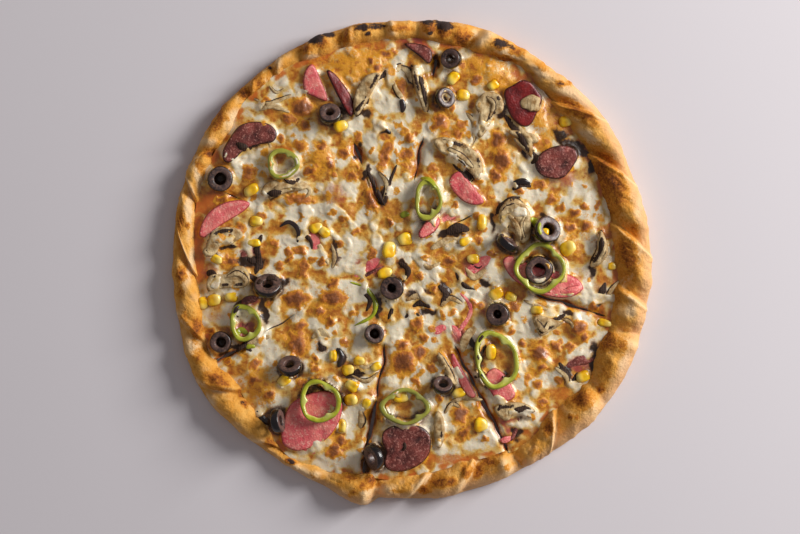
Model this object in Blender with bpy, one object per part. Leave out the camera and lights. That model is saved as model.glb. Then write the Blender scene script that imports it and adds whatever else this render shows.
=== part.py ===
# A whole pizza as it lies: a thin base with a folded rim that was left uncut, and eight
# slices of melted cheese with olive rings, pepper rings, ham, salami, mushrooms and sweetcorn.
import math

import bmesh
import bpy
from mathutils import Matrix, Vector, noise
from mathutils.bvhtree import BVHTree

# Places are read off a picture from straight above, in its pixels, and one scale makes them real
PIZZA_ACROSS = 0.300
PICTURE_ACROSS = 481.0
PICTURE_CENTRE = (412.53, 262.6)
SCALE = PIZZA_ACROSS / PICTURE_ACROSS
HUB = (412, 260)

MM = 0.001
GAP = 0.3 * MM
BASE_THICK = 5.0 * MM

# The rim: its outer and inner edge, and the creases between its folds, inner end first
OUTER_EDGE = (
    (400, 20), (357, 23), (330, 31), (290, 49), (252, 77), (222, 106), (200, 140), (184, 178),
    (174, 220), (172, 262), (175, 305), (183, 348), (203, 396), (234, 428), (278, 461), (325, 488),
    (352, 503), (368, 506), (380, 499), (424, 500), (480, 489), (536, 463), (575, 438), (605, 409),
    (631, 367), (647, 314), (653, 270), (645, 208), (627, 158), (600, 109), (560, 74), (520, 46),
    (477, 25), (440, 20))
INNER_EDGE = (
    (405, 40), (365, 44), (325, 56), (290, 68), (264, 86), (240, 110), (230, 132), (217, 152),
    (203, 185), (196, 222), (195, 255), (200, 290), (205, 332), (216, 361), (238, 385), (262, 420),
    (290, 455), (318, 467), (362, 474), (400, 478), (440, 468), (480, 457), (522, 445), (552, 410),
    (584, 384), (598, 350), (611, 315), (616, 272), (609, 220), (598, 178), (578, 138), (548, 100),
    (520, 68), (466, 50), (435, 42))
CREASES = (
    ((463, 52), (480, 27), 3.2), ((550, 91), (605, 113), 3.6), ((587, 147), (635, 178), 4.2),
    ((608, 218), (640, 252), 4.0), ((617, 281), (640, 303), 3.6), ((603, 328), (637, 333), 3.8),
    ((585, 378), (603, 402), 2.6), ((561, 408), (551, 449), 4.0), ((509, 449), (523, 470), 3.4),
    ((480, 459), (464, 488), 4.0), ((435, 472), (412, 494), 3.6), ((378, 478), (372, 502), 4.4),
    ((330, 470), (322, 486), 2.2), ((286, 453), (258, 446), 2.6), ((241, 398), (203, 388), 3.2),
    ((207, 350), (181, 326), 3.0), ((200, 284), (177, 224), 3.4), ((194, 208), (182, 180), 3.0),
    ((218, 152), (194, 150), 2.8), ((251, 104), (245, 82), 2.8), ((272, 80), (268, 60), 2.0),
    ((297, 62), (302, 43), 2.8), ((341, 50), (343, 28), 2.4), ((386, 42), (384, 21), 2.0),
    ((420, 42), (416, 20), 2.0))
RIM_STEP = 5.5 * MM
RIM_LOW = 8.0 * MM
RIM_RISE = 0.40
CREASE_BEFORE = 3.6 * MM
CREASE_AFTER = 7.5 * MM
RIM_FLAT = 0.88
RIM_PROFILE = (
    (0.97, 0.10), (1.00, 0.30), (0.975, 0.55), (0.90, 0.78), (0.76, 0.94), (0.58, 1.00),
    (0.38, 0.95), (0.20, 0.80), (0.07, 0.58))

# Eight cuts run from one meeting point to the foot of the rim
CUT_MEET = (403, 250)
CUT_ENDS = (
    (585, 157), (436, 60), (318, 66), (205, 187), (212, 364), (363, 474), (507, 448), (603, 316))
CUT_WIDTH = 1.8 * MM
CUT_HEIGHT = 4 * BASE_THICK

# The cheese of each slice, with wide mounds where it bubbled up: picture point, radius, height
CHEESE_THICK = 3.2 * MM
CHEESE_EDGE_THICK = 1.8 * MM
CHEESE_EDGE_BAND = 10 * MM
CHEESE_ROWS = 10
CHEESE_COLUMNS = 8
CHEESE_TIP = 5 * MM
CHEESE_TO_RIM = 1.3 * MM
CHEESE_WAVE = 0.9 * MM
CHEESE_WAVE_SPAN = 14 * MM
MOUNDS = (
    (350, 68, 30, 2.4), (490, 70, 24, 2.8), (262, 385, 27, 2.2), (320, 157, 22, 2.2),
    (300, 108, 12, 1.2), (332, 290, 15, 1.2), (406, 357, 15, 1.6), (502, 155, 18, 1.4),
    (441, 122, 12, 1.0), (538, 357, 17, 1.3), (335, 195, 17, 1.4), (300, 345, 16, 1.2),
    (545, 118, 16, 1.6), (460, 420, 16, 1.4), (580, 330, 15, 1.0), (300, 299, 16, 1.0),
    (230, 170, 14, 1.0), (372, 200, 12, 1.0), (580, 205, 20, 1.0), (440, 285, 15, 0.9))

# Sweetcorn kernels, fused to the cheese they are stuck in
KERNELS = (
    (341, 126), (453, 78), (463, 95), (493, 82), (566, 120), (251, 190), (256, 221), (253, 243),
    (216, 259), (205, 302), (213, 304), (231, 297), (316, 228), (324, 232), (289, 216), (325, 170),
    (382, 105), (389, 250), (405, 239), (385, 273), (284, 381), (348, 370), (352, 386), (351, 400),
    (366, 404), (342, 426), (333, 356), (359, 361), (376, 367), (401, 405), (452, 394), (481, 425),
    (491, 352), (465, 241), (473, 259), (482, 221), (496, 294), (511, 297), (537, 306), (568, 248),
    (537, 217), (605, 323), (583, 377), (612, 266), (370, 213))
KERNEL_SIZE = (4.6 * MM, 4.0 * MM, 3.2 * MM)
KERNEL_RISE = 1.0 * MM
KERNEL_ROOM = 5.2 * MM
KEEP_TRIES = 12

# Small mushroom bits and ham half under the cheese, fused to it: point, length, width, turn
BITS = (
    (277, 96, 30, 7, 20), (278, 108, 28, 8, -5), (264, 158, 36, 8, 68), (394, 80, 36, 8, 60),
    (456, 241, 34, 12, 20), (604, 290, 20, 9, 60), (463, 277, 20, 10, -60),
    (446, 303, 24, 7, 40), (420, 303, 20, 9, 25), (360, 376, 18, 8, 0), (361, 418, 14, 16, 0),
    (461, 401, 34, 12, 5), (474, 340, 26, 10, 70), (563, 373, 20, 10, -40), (322, 342, 22, 14, 30),
    (325, 250, 28, 8, 80), (259, 256, 30, 10, 80), (366, 304, 18, 10, -60), (368, 270, 30, 12, 25),
    (440, 333, 16, 16, 0), (463, 314, 32, 7, -70), (480, 268, 24, 10, -30), (335, 193, 28, 28, 0),
    (578, 364, 30, 14, 0), (243, 318, 22, 38, 0), (286, 232, 24, 14, -20), (267, 418, 20, 9, -30),
    (357, 322, 26, 6, 20), (366, 290, 24, 6, -40))
BIT_SIDES = 8
BIT_TOP = 0.7
BIT_THICK = 2.6 * MM
BIT_PROUD = 1.3 * MM
BIT_ROOM = 1.4 * MM

# Olive rings: picture point, width, tilt from flat, and the way their top side faces
OLIVES = (
    (216, 177, 26, 10, 0), (330, 114, 23, 38, 90), (451, 59, 21, 28, 180), (445, 98, 21, 34, 10),
    (268, 286, 28, 48, 90), (212, 346, 22, 6, 90), (290, 366, 24, 50, 100), (277, 422, 24, 66, 10),
    (374, 334, 20, 14, 90), (392, 288, 24, 18, 200), (374, 457, 27, 60, 200), (443, 385, 20, 42, 90),
    (498, 314, 24, 22, 190), (539, 270, 28, 4, 0), (547, 230, 28, 28, 60), (507, 243, 22, 82, 53))
OLIVE_SIDES = 12
OLIVE_HOLE = 0.42
OLIVE_SHOULDER = 0.86
OLIVE_HIGH = 5.2 * MM

# Pepper rings: picture point, width, height, turn and number of lobes
PEPPERS = (
    (245, 323, 32, 38, 10, 3), (320, 401, 41, 44, 30, 3), (405, 407, 50, 36, 0, 4),
    (496, 360, 44, 60, 13, 3), (540, 268, 50, 50, 25, 4), (428, 200, 28, 42, 0, 3),
    (283, 164, 33, 31, 0, 3))
PEPPER_SIDES = 20
PEPPER_WALL = 3.0 * MM
PEPPER_HIGH = 4.0 * MM
PEPPER_LOBE = 0.05

# Ham, salami and mushroom slices: tilt from flat, the way the top side faces, and the outline
HAM_THICK = 1.6 * MM
HAM = (
    (6, 210, ((199, 236), (201, 225), (207, 214), (217, 206), (229, 201), (242, 200), (250, 203),
              (246, 209), (236, 216), (224, 223), (213, 231), (206, 237))),
    (10, 200, ((304, 74), (308, 66), (314, 65), (318, 74), (323, 85), (327, 95), (327, 101),
               (320, 99), (313, 96), (305, 92), (303, 84))),
    (8, 230, ((453, 174), (460, 171), (466, 177), (474, 187), (481, 196), (484, 203), (474, 205),
              (463, 201), (454, 192), (449, 182))),
    (8, 130, ((435, 215), (440, 220), (438, 228), (430, 235), (421, 239), (418, 235), (421, 228),
              (427, 221))),
    (5, 250, ((287, 410), (294, 401), (306, 395), (321, 391), (335, 394), (342, 403), (341, 416),
              (335, 429), (324, 441), (310, 448), (296, 451), (285, 447), (281, 438), (283, 424))),
    (4, 270, ((503, 260), (511, 256), (524, 262), (540, 268), (556, 271), (570, 275), (580, 281),
              (583, 289), (574, 296), (560, 298), (544, 295), (527, 288), (514, 280), (506, 270))),
    (5, 210, ((452, 352), (456, 357), (465, 373), (474, 390), (476, 397), (469, 397), (461, 386),
              (455, 372), (451, 361))),
    (5, 250, ((486, 374), (494, 368), (502, 372), (508, 380), (514, 390), (515, 397), (506, 402),
              (496, 399), (490, 391), (485, 382))))
SALAMI_THICK = 2.0 * MM
SALAMI = (
    (18, 60, ((326, 70), (334, 73), (342, 83), (350, 95), (353, 106), (351, 117), (345, 112),
              (337, 95), (330, 81))),
    (6, 120, ((223, 160), (223, 150), (226, 140), (231, 132), (239, 126), (250, 122), (262, 122),
              (272, 126), (277, 134), (273, 142), (262, 144), (251, 147), (242, 152), (236, 158),
              (229, 163))),
    (8, 80, ((404, 44), (413, 43), (424, 45), (431, 50), (432, 60), (428, 64), (419, 56),
             (411, 50))),
    (14, 240, ((504, 92), (513, 85), (522, 80), (534, 79), (541, 84), (545, 91), (542, 100),
               (538, 110), (531, 124), (522, 126), (510, 115))),
    (6, 100, ((535, 162), (541, 153), (552, 147), (564, 145), (575, 149), (578, 157), (574, 165),
              (569, 172), (562, 178), (548, 178), (538, 172))),
    (5, 270, ((383, 432), (392, 426), (406, 424), (420, 426), (429, 433), (431, 443), (429, 454),
              (422, 463), (412, 469), (400, 472), (388, 470), (384, 463), (386, 452), (382, 442))))
MUSHROOM_THICK = 2.6 * MM
MUSHROOMS = (
    (10, 80, ((261, 196), (262, 188), (268, 182), (278, 179), (290, 181), (303, 184), (306, 189),
              (298, 191), (286, 193), (272, 194), (266, 200))),
    (8, 60, ((202, 253), (206, 246), (212, 232), (224, 227), (238, 229), (243, 236), (240, 246),
             (232, 244), (222, 244), (217, 252), (210, 257))),
    (8, 270, ((206, 284), (209, 276), (216, 274), (226, 274), (234, 267), (243, 266), (249, 273),
              (249, 283), (242, 288), (228, 288), (214, 290), (208, 292))),
    (14, 150, ((354, 100), (357, 88), (365, 77), (374, 73), (381, 75), (377, 84), (371, 94),
               (364, 106), (359, 115), (354, 111))),
    (30, 20, ((413, 66), (418, 66), (423, 80), (427, 98), (427, 109), (422, 111), (418, 98),
              (412, 80))),
    (10, 30, ((479, 97), (485, 92), (494, 92), (501, 96), (504, 104), (502, 112), (494, 116),
              (490, 124), (484, 134), (479, 138), (476, 130), (479, 116), (475, 105))),
    (12, 240, ((508, 132), (513, 130), (523, 132), (534, 134), (539, 142), (537, 152), (532, 158),
               (531, 150), (529, 144), (521, 140), (512, 138))),
    (12, 60, ((433, 141), (442, 137), (456, 140), (470, 147), (480, 158), (483, 172), (478, 181),
              (472, 175), (462, 166), (452, 158), (440, 152))),
    (14, 200, ((501, 207), (510, 201), (520, 203), (529, 210), (531, 224), (529, 239), (521, 243),
               (514, 232), (505, 229), (499, 220))),
    (22, 200, ((598, 232), (602, 230), (607, 240), (609, 252), (604, 261), (597, 266), (590, 267),
               (593, 258), (598, 248), (599, 240))),
    (6, 90, ((533, 321), (537, 315), (550, 318), (560, 322), (566, 321), (556, 328), (546, 334),
             (540, 336), (536, 329))),
    (16, 180, ((434, 420), (437, 411), (441, 413), (445, 425), (444, 440), (440, 449), (436, 445),
               (434, 434))),
    (10, 210, ((437, 355), (443, 355), (449, 363), (454, 372), (458, 383), (454, 386), (447, 376),
               (440, 365))),
    (12, 270, ((494, 408), (503, 403), (516, 402), (529, 405), (536, 412), (534, 419), (525, 412),
               (516, 414), (508, 421), (501, 419), (496, 413))))

# How far a topping stays from the rim, and how it is lowered onto what lies under it: from
# above, in coarse and then fine steps, and tipped a little whichever way brings it lowest
TOPPING_TO_RIM = 1.8 * MM
OLIVE_TO_RIM = 0.9 * MM
DROP_FROM = 34 * MM
DROP_STEPS = (2.0 * MM, 0.25 * MM)
DROP_GAP = 0.2 * MM
TIP_STEP = 7
TIP_TRIES = ((0, 0), (1, 0), (-1, 0), (0, 1), (0, -1), (1, 1), (1, -1), (-1, 1), (-1, -1))

COLOURS = {
    "dough": (0.80, 0.50, 0.24, 0.72), "cheese": (0.82, 0.72, 0.50, 0.38),
    "olive": (0.05, 0.03, 0.04, 0.28), "pepper": (0.36, 0.44, 0.05, 0.30),
    "ham": (0.66, 0.20, 0.20, 0.42), "salami": (0.24, 0.04, 0.03, 0.45),
    "mushroom": (0.62, 0.46, 0.28, 0.60)}


def clear_scene():
    for old in list(bpy.data.objects):
        bpy.data.objects.remove(old, do_unlink=True)


def at(u, v):
    """The real place of a picture point, seen from above."""
    return Vector(((u - PICTURE_CENTRE[0]) * SCALE, (PICTURE_CENTRE[1] - v) * SCALE))


def from_hub(place):
    """Angle and distance of a place about the middle of the rim."""
    arm = place - at(*HUB)
    return math.atan2(arm.y, arm.x), arm.length


def smooth_outline(points):
    """A closed curve through picture points, as a function of the angle about the hub."""
    polar = sorted(from_hub(at(*point)) for point in points)
    count = len(polar)
    angles = [angle for angle, _ in polar]
    radii = [radius for _, radius in polar]

    def knot(index):
        turns, slot = divmod(index, count)
        return angles[slot] + turns * math.tau, radii[slot]

    def slope(index):
        before, after = knot(index - 1), knot(index + 1)
        return (after[1] - before[1]) / (after[0] - before[0])

    def radius_at(angle):
        angle = (angle - angles[0]) % math.tau + angles[0]
        index = max(slot for slot in range(count) if angles[slot] <= angle + 1e-12)
        start, end = knot(index), knot(index + 1)
        span = end[0] - start[0]
        t = (angle - start[0]) / span
        return ((1 + 2 * t) * (1 - t) ** 2 * start[1] + t * (1 - t) ** 2 * span * slope(index)
                + t * t * (3 - 2 * t) * end[1] + t * t * (t - 1) * span * slope(index + 1))

    return radius_at


outer_radius = smooth_outline(OUTER_EDGE)
inner_radius = smooth_outline(INNER_EDGE)


def material(kind):
    name = kind + " finish"
    if name in bpy.data.materials:
        return bpy.data.materials[name]
    red, green, blue, roughness = COLOURS[kind]
    made = bpy.data.materials.new(name)
    made.use_nodes = True
    shader = made.node_tree.nodes["Principled BSDF"]
    shader.inputs["Base Color"].default_value = (red, green, blue, 1)
    shader.inputs["Roughness"].default_value = roughness
    return made


def make_object(name, bm, kind):
    bmesh.ops.recalc_face_normals(bm, faces=bm.faces)
    mesh = bpy.data.meshes.new(name)
    bm.to_mesh(mesh)
    mesh.materials.append(material(kind))
    made = bpy.data.objects.new(name, mesh)
    bpy.context.scene.collection.objects.link(made)
    return made


def rim_stations():
    """Lines across the rim that follow the creases: inner angle, outer angle and crease drop."""
    creases = []
    for inner, outer, depth in CREASES:
        start = from_hub(at(*inner))[0]
        lean = (from_hub(at(*outer))[0] - start + math.pi) % math.tau - math.pi
        creases.append((start % math.tau, lean, depth * MM))
    creases.sort()
    stations = []
    for index, (start, lean, depth) in enumerate(creases):
        turns, following = divmod(index + 1, len(creases))
        next_start, next_lean, next_depth = creases[following]
        span = next_start + turns * math.tau - start
        arc = span * inner_radius(start)
        steps = max(2, round(arc / RIM_STEP))
        for step in range(steps):
            t = step / steps
            drop = max(depth * math.exp(-(t * arc / CREASE_AFTER) ** 2),
                       next_depth * math.exp(-((1 - t) * arc / CREASE_BEFORE) ** 2))
            stations.append((start + t * span, lean + t * (next_lean - lean), drop))
    return stations


def rim_point(station, across, share, height=None):
    """A point of the rim: across runs from its inner foot to its outer edge."""
    start, lean, drop = station
    angle = start + lean * across
    inner, outer = inner_radius(angle), outer_radius(angle)
    radius = inner + (outer - inner) * across - 0.35 * drop * across * share
    if height is None:
        height = (RIM_LOW + RIM_RISE * (outer - inner)) * share - drop * share
    place = at(*HUB) + radius * Vector((math.cos(angle), math.sin(angle)))
    return Vector((place.x, place.y, height))


def build_dough():
    """The base and its rim as one grid wrapped round, closed by a flat top and underside."""
    stations = rim_stations()
    rows = [(RIM_FLAT, 0, 0.0)]
    rows += [(across, share, None) for across, share in RIM_PROFILE]
    rows += [(0.0, 0, BASE_THICK)]
    bm = bmesh.new()
    bmesh.ops.create_grid(bm, x_segments=len(stations), y_segments=len(rows) - 1, size=1)
    bm.verts.ensure_lookup_table()
    across_count = len(stations) + 1
    for index, vert in enumerate(bm.verts):
        row, column = divmod(index, across_count)
        vert.co = rim_point(stations[column % len(stations)], *rows[row])
    bmesh.ops.remove_doubles(bm, verts=bm.verts, dist=1e-6)
    open_edges = [edge for edge in bm.edges if edge.is_boundary]
    bmesh.ops.holes_fill(bm, edges=open_edges, sides=0)
    dough = make_object("dough", bm, "dough")
    ground = BVHTree.FromBMesh(bm)
    bm.free()
    for number, end in enumerate(CUT_ENDS, 1):
        cut_slot(dough, number, end)
    return ground


def cut_slot(dough, number, end):
    """One knife cut through the base, from the meeting point to the foot of the rim."""
    start, finish = at(*CUT_MEET), at(*end)
    middle = (start + finish) / 2
    run = finish - start
    bm = bmesh.new()
    bmesh.ops.create_cube(bm, size=1)
    turn = Matrix.Rotation(math.atan2(run.y, run.x), 4, "Z")
    size = Matrix.Diagonal((run.length + CUT_WIDTH, CUT_WIDTH, CUT_HEIGHT, 1))
    bmesh.ops.transform(bm, matrix=Matrix.Translation(middle.to_3d()) @ turn @ size, verts=bm.verts)
    cutter = make_object(f"knife_{number}", bm, "dough")
    bm.free()
    cutter.hide_render = True
    cutter.display_type = "WIRE"
    slot = dough.modifiers.new(f"cut {number}", "BOOLEAN")
    slot.operation = "DIFFERENCE"
    slot.solver = "EXACT"
    slot.object = cutter


def cheese_top(place):
    """Height of the cheese above the table at a place."""
    angle, radius = from_hub(place)
    to_edge = inner_radius(angle) - radius
    fade = min(1.0, max(0.0, to_edge / CHEESE_EDGE_BAND))
    thick = CHEESE_EDGE_THICK + (CHEESE_THICK - CHEESE_EDGE_THICK) * fade
    wave = noise.noise(Vector((place.x, place.y, 0)) / CHEESE_WAVE_SPAN)
    mounds = 0.0
    for u, v, radius, height in MOUNDS:
        away = (place - at(u, v)).length / (radius * SCALE)
        mounds += height * MM * math.exp(-2 * away ** 2)
    return BASE_THICK + GAP + thick + fade * (CHEESE_WAVE * wave + mounds)


def cut_direction(number):
    run = at(*CUT_ENDS[number % len(CUT_ENDS)]) - at(*CUT_MEET)
    return math.atan2(run.y, run.x)


def reach(tip, angle):
    """How far a line from the slice's tip runs before it nears the rim."""
    near, far = 0.0, PIZZA_ACROSS
    for _ in range(40):
        middle = (near + far) / 2
        place = tip + middle * Vector((math.cos(angle), math.sin(angle)))
        around, radius = from_hub(place)
        if radius < inner_radius(around) - CHEESE_TO_RIM:
            near = middle
        else:
            far = middle
    return near


def build_cheese(number):
    """One slice of cheese: a grid that fans out from its tip, with straight cut sides."""
    start = cut_direction(number)
    span = (cut_direction(number + 1) - start) % math.tau
    bisector = start + span / 2
    tip_offset = CUT_WIDTH / 2 / math.sin(span / 2)
    tip = at(*CUT_MEET) + tip_offset * Vector((math.cos(bisector), math.sin(bisector)))
    bm = bmesh.new()
    bmesh.ops.create_grid(bm, x_segments=CHEESE_ROWS, y_segments=CHEESE_COLUMNS, size=1)
    for vert in bm.verts:
        along, across = (vert.co.x + 1) / 2, (vert.co.y + 1) / 2
        angle = start + span * across
        arm = CHEESE_TIP + (reach(tip, angle) - CHEESE_TIP) * along
        place = tip + arm * Vector((math.cos(angle), math.sin(angle)))
        vert.co = Vector((place.x, place.y, cheese_top(place)))
    rim_edges = [edge for edge in bm.edges if edge.is_boundary]
    skirt = bmesh.ops.extrude_edge_only(bm, edges=rim_edges)["geom"]
    for vert in [item for item in skirt if isinstance(item, bmesh.types.BMVert)]:
        vert.co.z = BASE_THICK + GAP
    bmesh.ops.holes_fill(bm, edges=[edge for edge in bm.edges if edge.is_boundary], sides=0)
    slice_of_cheese = make_object(f"cheese_{number + 1}", bm, "cheese")
    bm.free()
    return slice_of_cheese


def slice_of(place):
    """Which slice a place lies on."""
    arm = place - at(*CUT_MEET)
    angle = math.atan2(arm.y, arm.x)
    for number in range(len(CUT_ENDS)):
        start = cut_direction(number)
        if (angle - start) % math.tau < (cut_direction(number + 1) - start) % math.tau:
            return number
    return 0


def keep_on_slice(place, room):
    """Moves a place until it is clear of its slice's two cuts and of the rim."""
    number = slice_of(place)
    for _ in range(KEEP_TRIES):
        place = keep_off_rim(place, room + CHEESE_TO_RIM)
        for side, inward in ((number, 1), (number + 1, -1)):
            angle = cut_direction(side)
            normal = inward * Vector((-math.sin(angle), math.cos(angle)))
            short = room + CUT_WIDTH / 2 - normal.dot(place - at(*CUT_MEET))
            place = place + max(0.0, short) * normal
    return place, number


def keep_off_rim(place, room):
    around, radius = from_hub(place)
    allowed = inner_radius(around) - room
    if radius <= allowed:
        return place
    return at(*HUB) + allowed * Vector((math.cos(around), math.sin(around)))


def kernel(index, u, v):
    place, number = keep_on_slice(at(u, v), KERNEL_ROOM)
    bm = bmesh.new()
    bmesh.ops.create_icosphere(bm, subdivisions=1, radius=1)
    turn = Matrix.Rotation(2.4 * index, 4, "Z")
    size = Matrix.Diagonal((*KERNEL_SIZE, 1))
    middle = Vector((place.x, place.y, cheese_top(place) + KERNEL_RISE))
    bmesh.ops.transform(bm, matrix=Matrix.Translation(middle) @ turn @ size, verts=bm.verts)
    made = make_object(f"kernel_{index}", bm, "cheese")
    bm.free()
    return made, number


def bit(index, u, v, length, width, turn):
    room = 0.5 * min(length, width) * SCALE + BIT_ROOM
    place, number = keep_on_slice(at(u, v), room)
    bm = bmesh.new()
    bmesh.ops.create_cone(bm, cap_ends=True, segments=BIT_SIDES, radius1=1, radius2=BIT_TOP, depth=1)
    size = Matrix.Diagonal((length * SCALE / 2, width * SCALE / 2, BIT_THICK, 1))
    middle = Vector((place.x, place.y, cheese_top(place) + BIT_PROUD - BIT_THICK / 2))
    spin = Matrix.Rotation(math.radians(turn), 4, "Z")
    bmesh.ops.transform(bm, matrix=Matrix.Translation(middle) @ spin @ size, verts=bm.verts)
    trim_to_slice(bm, number)
    made = make_object(f"bit_{index}", bm, "cheese")
    bm.free()
    return made, number


def trim_to_slice(bm, number):
    """Cuts off what would hang over the slice's two cuts."""
    for side, inward in ((number, 1), (number + 1, -1)):
        angle = cut_direction(side)
        normal = inward * Vector((-math.sin(angle), math.cos(angle), 0))
        edge = at(*CUT_MEET).to_3d() + normal * (CUT_WIDTH / 2 + GAP)
        geometry = bm.verts[:] + bm.edges[:] + bm.faces[:]
        bmesh.ops.bisect_plane(bm, geom=geometry, plane_co=edge, plane_no=normal, clear_inner=True)
        bmesh.ops.holes_fill(bm, edges=[item for item in bm.edges if item.is_boundary], sides=0)


def fuse(base, pieces):
    """Joins small pieces to what they are stuck in, as one closed solid."""
    if not pieces:
        return
    group = bpy.data.collections.new(base.name + " pieces")
    bpy.context.scene.collection.children.link(group)
    for piece in pieces:
        bpy.context.scene.collection.objects.unlink(piece)
        group.objects.link(piece)
    join = base.modifiers.new("fuse", "BOOLEAN")
    join.operation = "UNION"
    join.solver = "EXACT"
    join.operand_type = "COLLECTION"
    join.collection = group
    view = bpy.context.evaluated_depsgraph_get()
    fused = bpy.data.meshes.new_from_object(base.evaluated_get(view))
    base.modifiers.clear()
    base.data = fused
    for piece in pieces:
        bpy.data.objects.remove(piece, do_unlink=True)
    bpy.data.collections.remove(group)


def build_slices():
    """The eight slices with all that is fused to them, and the surfaces toppings land on."""
    slices = [build_cheese(number) for number in range(len(CUT_ENDS))]
    stuck = [[] for _ in slices]
    for index, (u, v) in enumerate(KERNELS):
        made, number = kernel(index, u, v)
        stuck[number].append(made)
    for index, row in enumerate(BITS):
        made, number = bit(index, *row)
        stuck[number].append(made)
    grounds = []
    for base, pieces in zip(slices, stuck):
        fuse(base, pieces)
        bm = bmesh.new()
        bm.from_mesh(base.data)
        grounds.append(BVHTree.FromBMesh(bm))
        bm.free()
    return grounds


def lowered(shape, pose, grounds):
    """The pose of a topping after it has sunk until it almost touches something under it."""
    corners = [pose @ vert.co for vert in shape.verts]
    faces = [[vert.index for vert in face.verts] for face in shape.faces]

    def touches(height):
        moved = [corner + Vector((0, 0, height)) for corner in corners]
        tree = BVHTree.FromPolygons(moved, faces)
        return any(tree.overlap(ground) for ground in grounds)

    height = DROP_FROM
    for step in DROP_STEPS:
        while not touches(height):
            height -= step
        height += step
    return Matrix.Translation((0, 0, height + DROP_GAP)) @ pose


def tilt_matrix(tilt, facing):
    """Tips a flat piece so that its top side faces one way."""
    way = math.radians(facing)
    axis = Vector((-math.sin(way), math.cos(way), 0))
    return Matrix.Rotation(math.radians(tilt), 4, axis)


def place_topping(name, bm, kind, middle, tilt, facing, grounds):
    """Rests a topping on what lies under it, at the lowest of a few ways of leaning."""
    bm.verts.index_update()
    poses = []
    for tip_x, tip_y in TIP_TRIES:
        tip = tilt_matrix(TIP_STEP * tip_x, 0) @ tilt_matrix(TIP_STEP * tip_y, 90)
        pose = Matrix.Translation(middle.to_3d()) @ tip @ tilt_matrix(tilt, facing)
        poses.append(lowered(bm, pose, grounds))
    lowest = min(poses, key=lambda pose: round(pose.translation.z, 6))
    bmesh.ops.transform(bm, matrix=lowest, verts=bm.verts)
    make_object(name, bm, kind)
    grounds.append(BVHTree.FromBMesh(bm))
    bm.free()


def ring_shape(section, sides):
    """A ring turned from its cross-section, which lies at +X."""
    bm = bmesh.new()
    corners = [bm.verts.new((x, 0, z)) for x, z in section]
    edges = [bm.edges.new((corners[i - 1], corners[i])) for i in range(len(corners))]
    bmesh.ops.spin(bm, geom=corners + edges, cent=(0, 0, 0), axis=(0, 0, 1), dvec=(0, 0, 0),
                   angle=math.tau, steps=sides, use_merge=True, use_duplicate=False)
    return bm


def add_olives(grounds):
    for number, (u, v, width, tilt, facing) in enumerate(OLIVES, 1):
        radius = width * SCALE / 2
        half = OLIVE_HIGH / 2
        section = ((OLIVE_HOLE * radius, -half), (OLIVE_SHOULDER * radius, -half), (radius, 0),
                   (OLIVE_SHOULDER * radius, half), (OLIVE_HOLE * radius, half))
        bm = ring_shape(section, OLIVE_SIDES)
        middle = keep_off_rim(at(u, v), radius + OLIVE_TO_RIM)
        place_topping(f"olive_{number}", bm, "olive", middle, tilt, facing, grounds)


def add_peppers(grounds):
    for number, (u, v, width, height, turn, lobes) in enumerate(PEPPERS, 1):
        wide, high = width * SCALE / 2, height * SCALE / 2
        inside = 1 - PEPPER_WALL / ((wide + high) / 2)
        half = PEPPER_HIGH / 2
        section = ((inside, -half), (1, -half), (1, half), (inside, half))
        bm = ring_shape(section, PEPPER_SIDES)
        for vert in bm.verts:
            angle = math.atan2(vert.co.y, vert.co.x)
            lobe = 1 + PEPPER_LOBE * math.cos(lobes * angle + math.radians(turn * lobes))
            vert.co.x *= wide * lobe
            vert.co.y *= high * lobe
        bmesh.ops.rotate(bm, verts=bm.verts, matrix=Matrix.Rotation(math.radians(turn), 3, "Z"))
        middle = keep_off_rim(at(u, v), max(wide, high) + TOPPING_TO_RIM)
        place_topping(f"pepper_ring_{number}", bm, "pepper", middle, 0, 0, grounds)


def add_slices(kind, thick, rows, grounds):
    """Flat slices cut to an outline of picture points."""
    for number, (tilt, facing, outline) in enumerate(rows, 1):
        places = [keep_off_rim(at(u, v), TOPPING_TO_RIM) for u, v in outline]
        middle = sum(places, Vector((0, 0))) / len(places)
        bm = bmesh.new()
        corners = [bm.verts.new((place - middle).to_3d()) for place in places]
        bottom = bmesh.ops.contextual_create(bm, geom=corners)["faces"]
        top = bmesh.ops.extrude_face_region(bm, geom=bottom)["geom"]
        raised = [item for item in top if isinstance(item, bmesh.types.BMVert)]
        bmesh.ops.translate(bm, verts=raised, vec=(0, 0, thick))
        place_topping(f"{kind}_{number}", bm, kind, middle, tilt, facing, grounds)


def build():
    clear_scene()
    grounds = [build_dough()] + build_slices()
    add_slices("ham", HAM_THICK, HAM, grounds)
    add_slices("salami", SALAMI_THICK, SALAMI, grounds)
    add_slices("mushroom", MUSHROOM_THICK, MUSHROOMS, grounds)
    add_peppers(grounds)
    add_olives(grounds)


build()
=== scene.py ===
import math

import bmesh
import bpy
import numpy as np
from mathutils import Matrix, Vector, noise
from mathutils.bvhtree import BVHTree


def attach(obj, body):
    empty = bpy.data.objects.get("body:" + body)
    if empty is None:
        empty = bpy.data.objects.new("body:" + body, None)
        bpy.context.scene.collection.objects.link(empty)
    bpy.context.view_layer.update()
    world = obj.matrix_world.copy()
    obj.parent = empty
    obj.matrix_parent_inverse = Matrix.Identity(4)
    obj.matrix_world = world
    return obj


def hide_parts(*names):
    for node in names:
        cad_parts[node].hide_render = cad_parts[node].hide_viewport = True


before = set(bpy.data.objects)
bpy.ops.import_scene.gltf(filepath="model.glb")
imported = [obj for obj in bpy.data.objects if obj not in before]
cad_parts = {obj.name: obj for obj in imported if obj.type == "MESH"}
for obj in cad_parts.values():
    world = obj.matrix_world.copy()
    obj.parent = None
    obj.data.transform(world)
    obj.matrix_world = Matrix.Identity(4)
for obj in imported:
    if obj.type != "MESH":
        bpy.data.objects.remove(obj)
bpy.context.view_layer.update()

mm = 0.001
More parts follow.
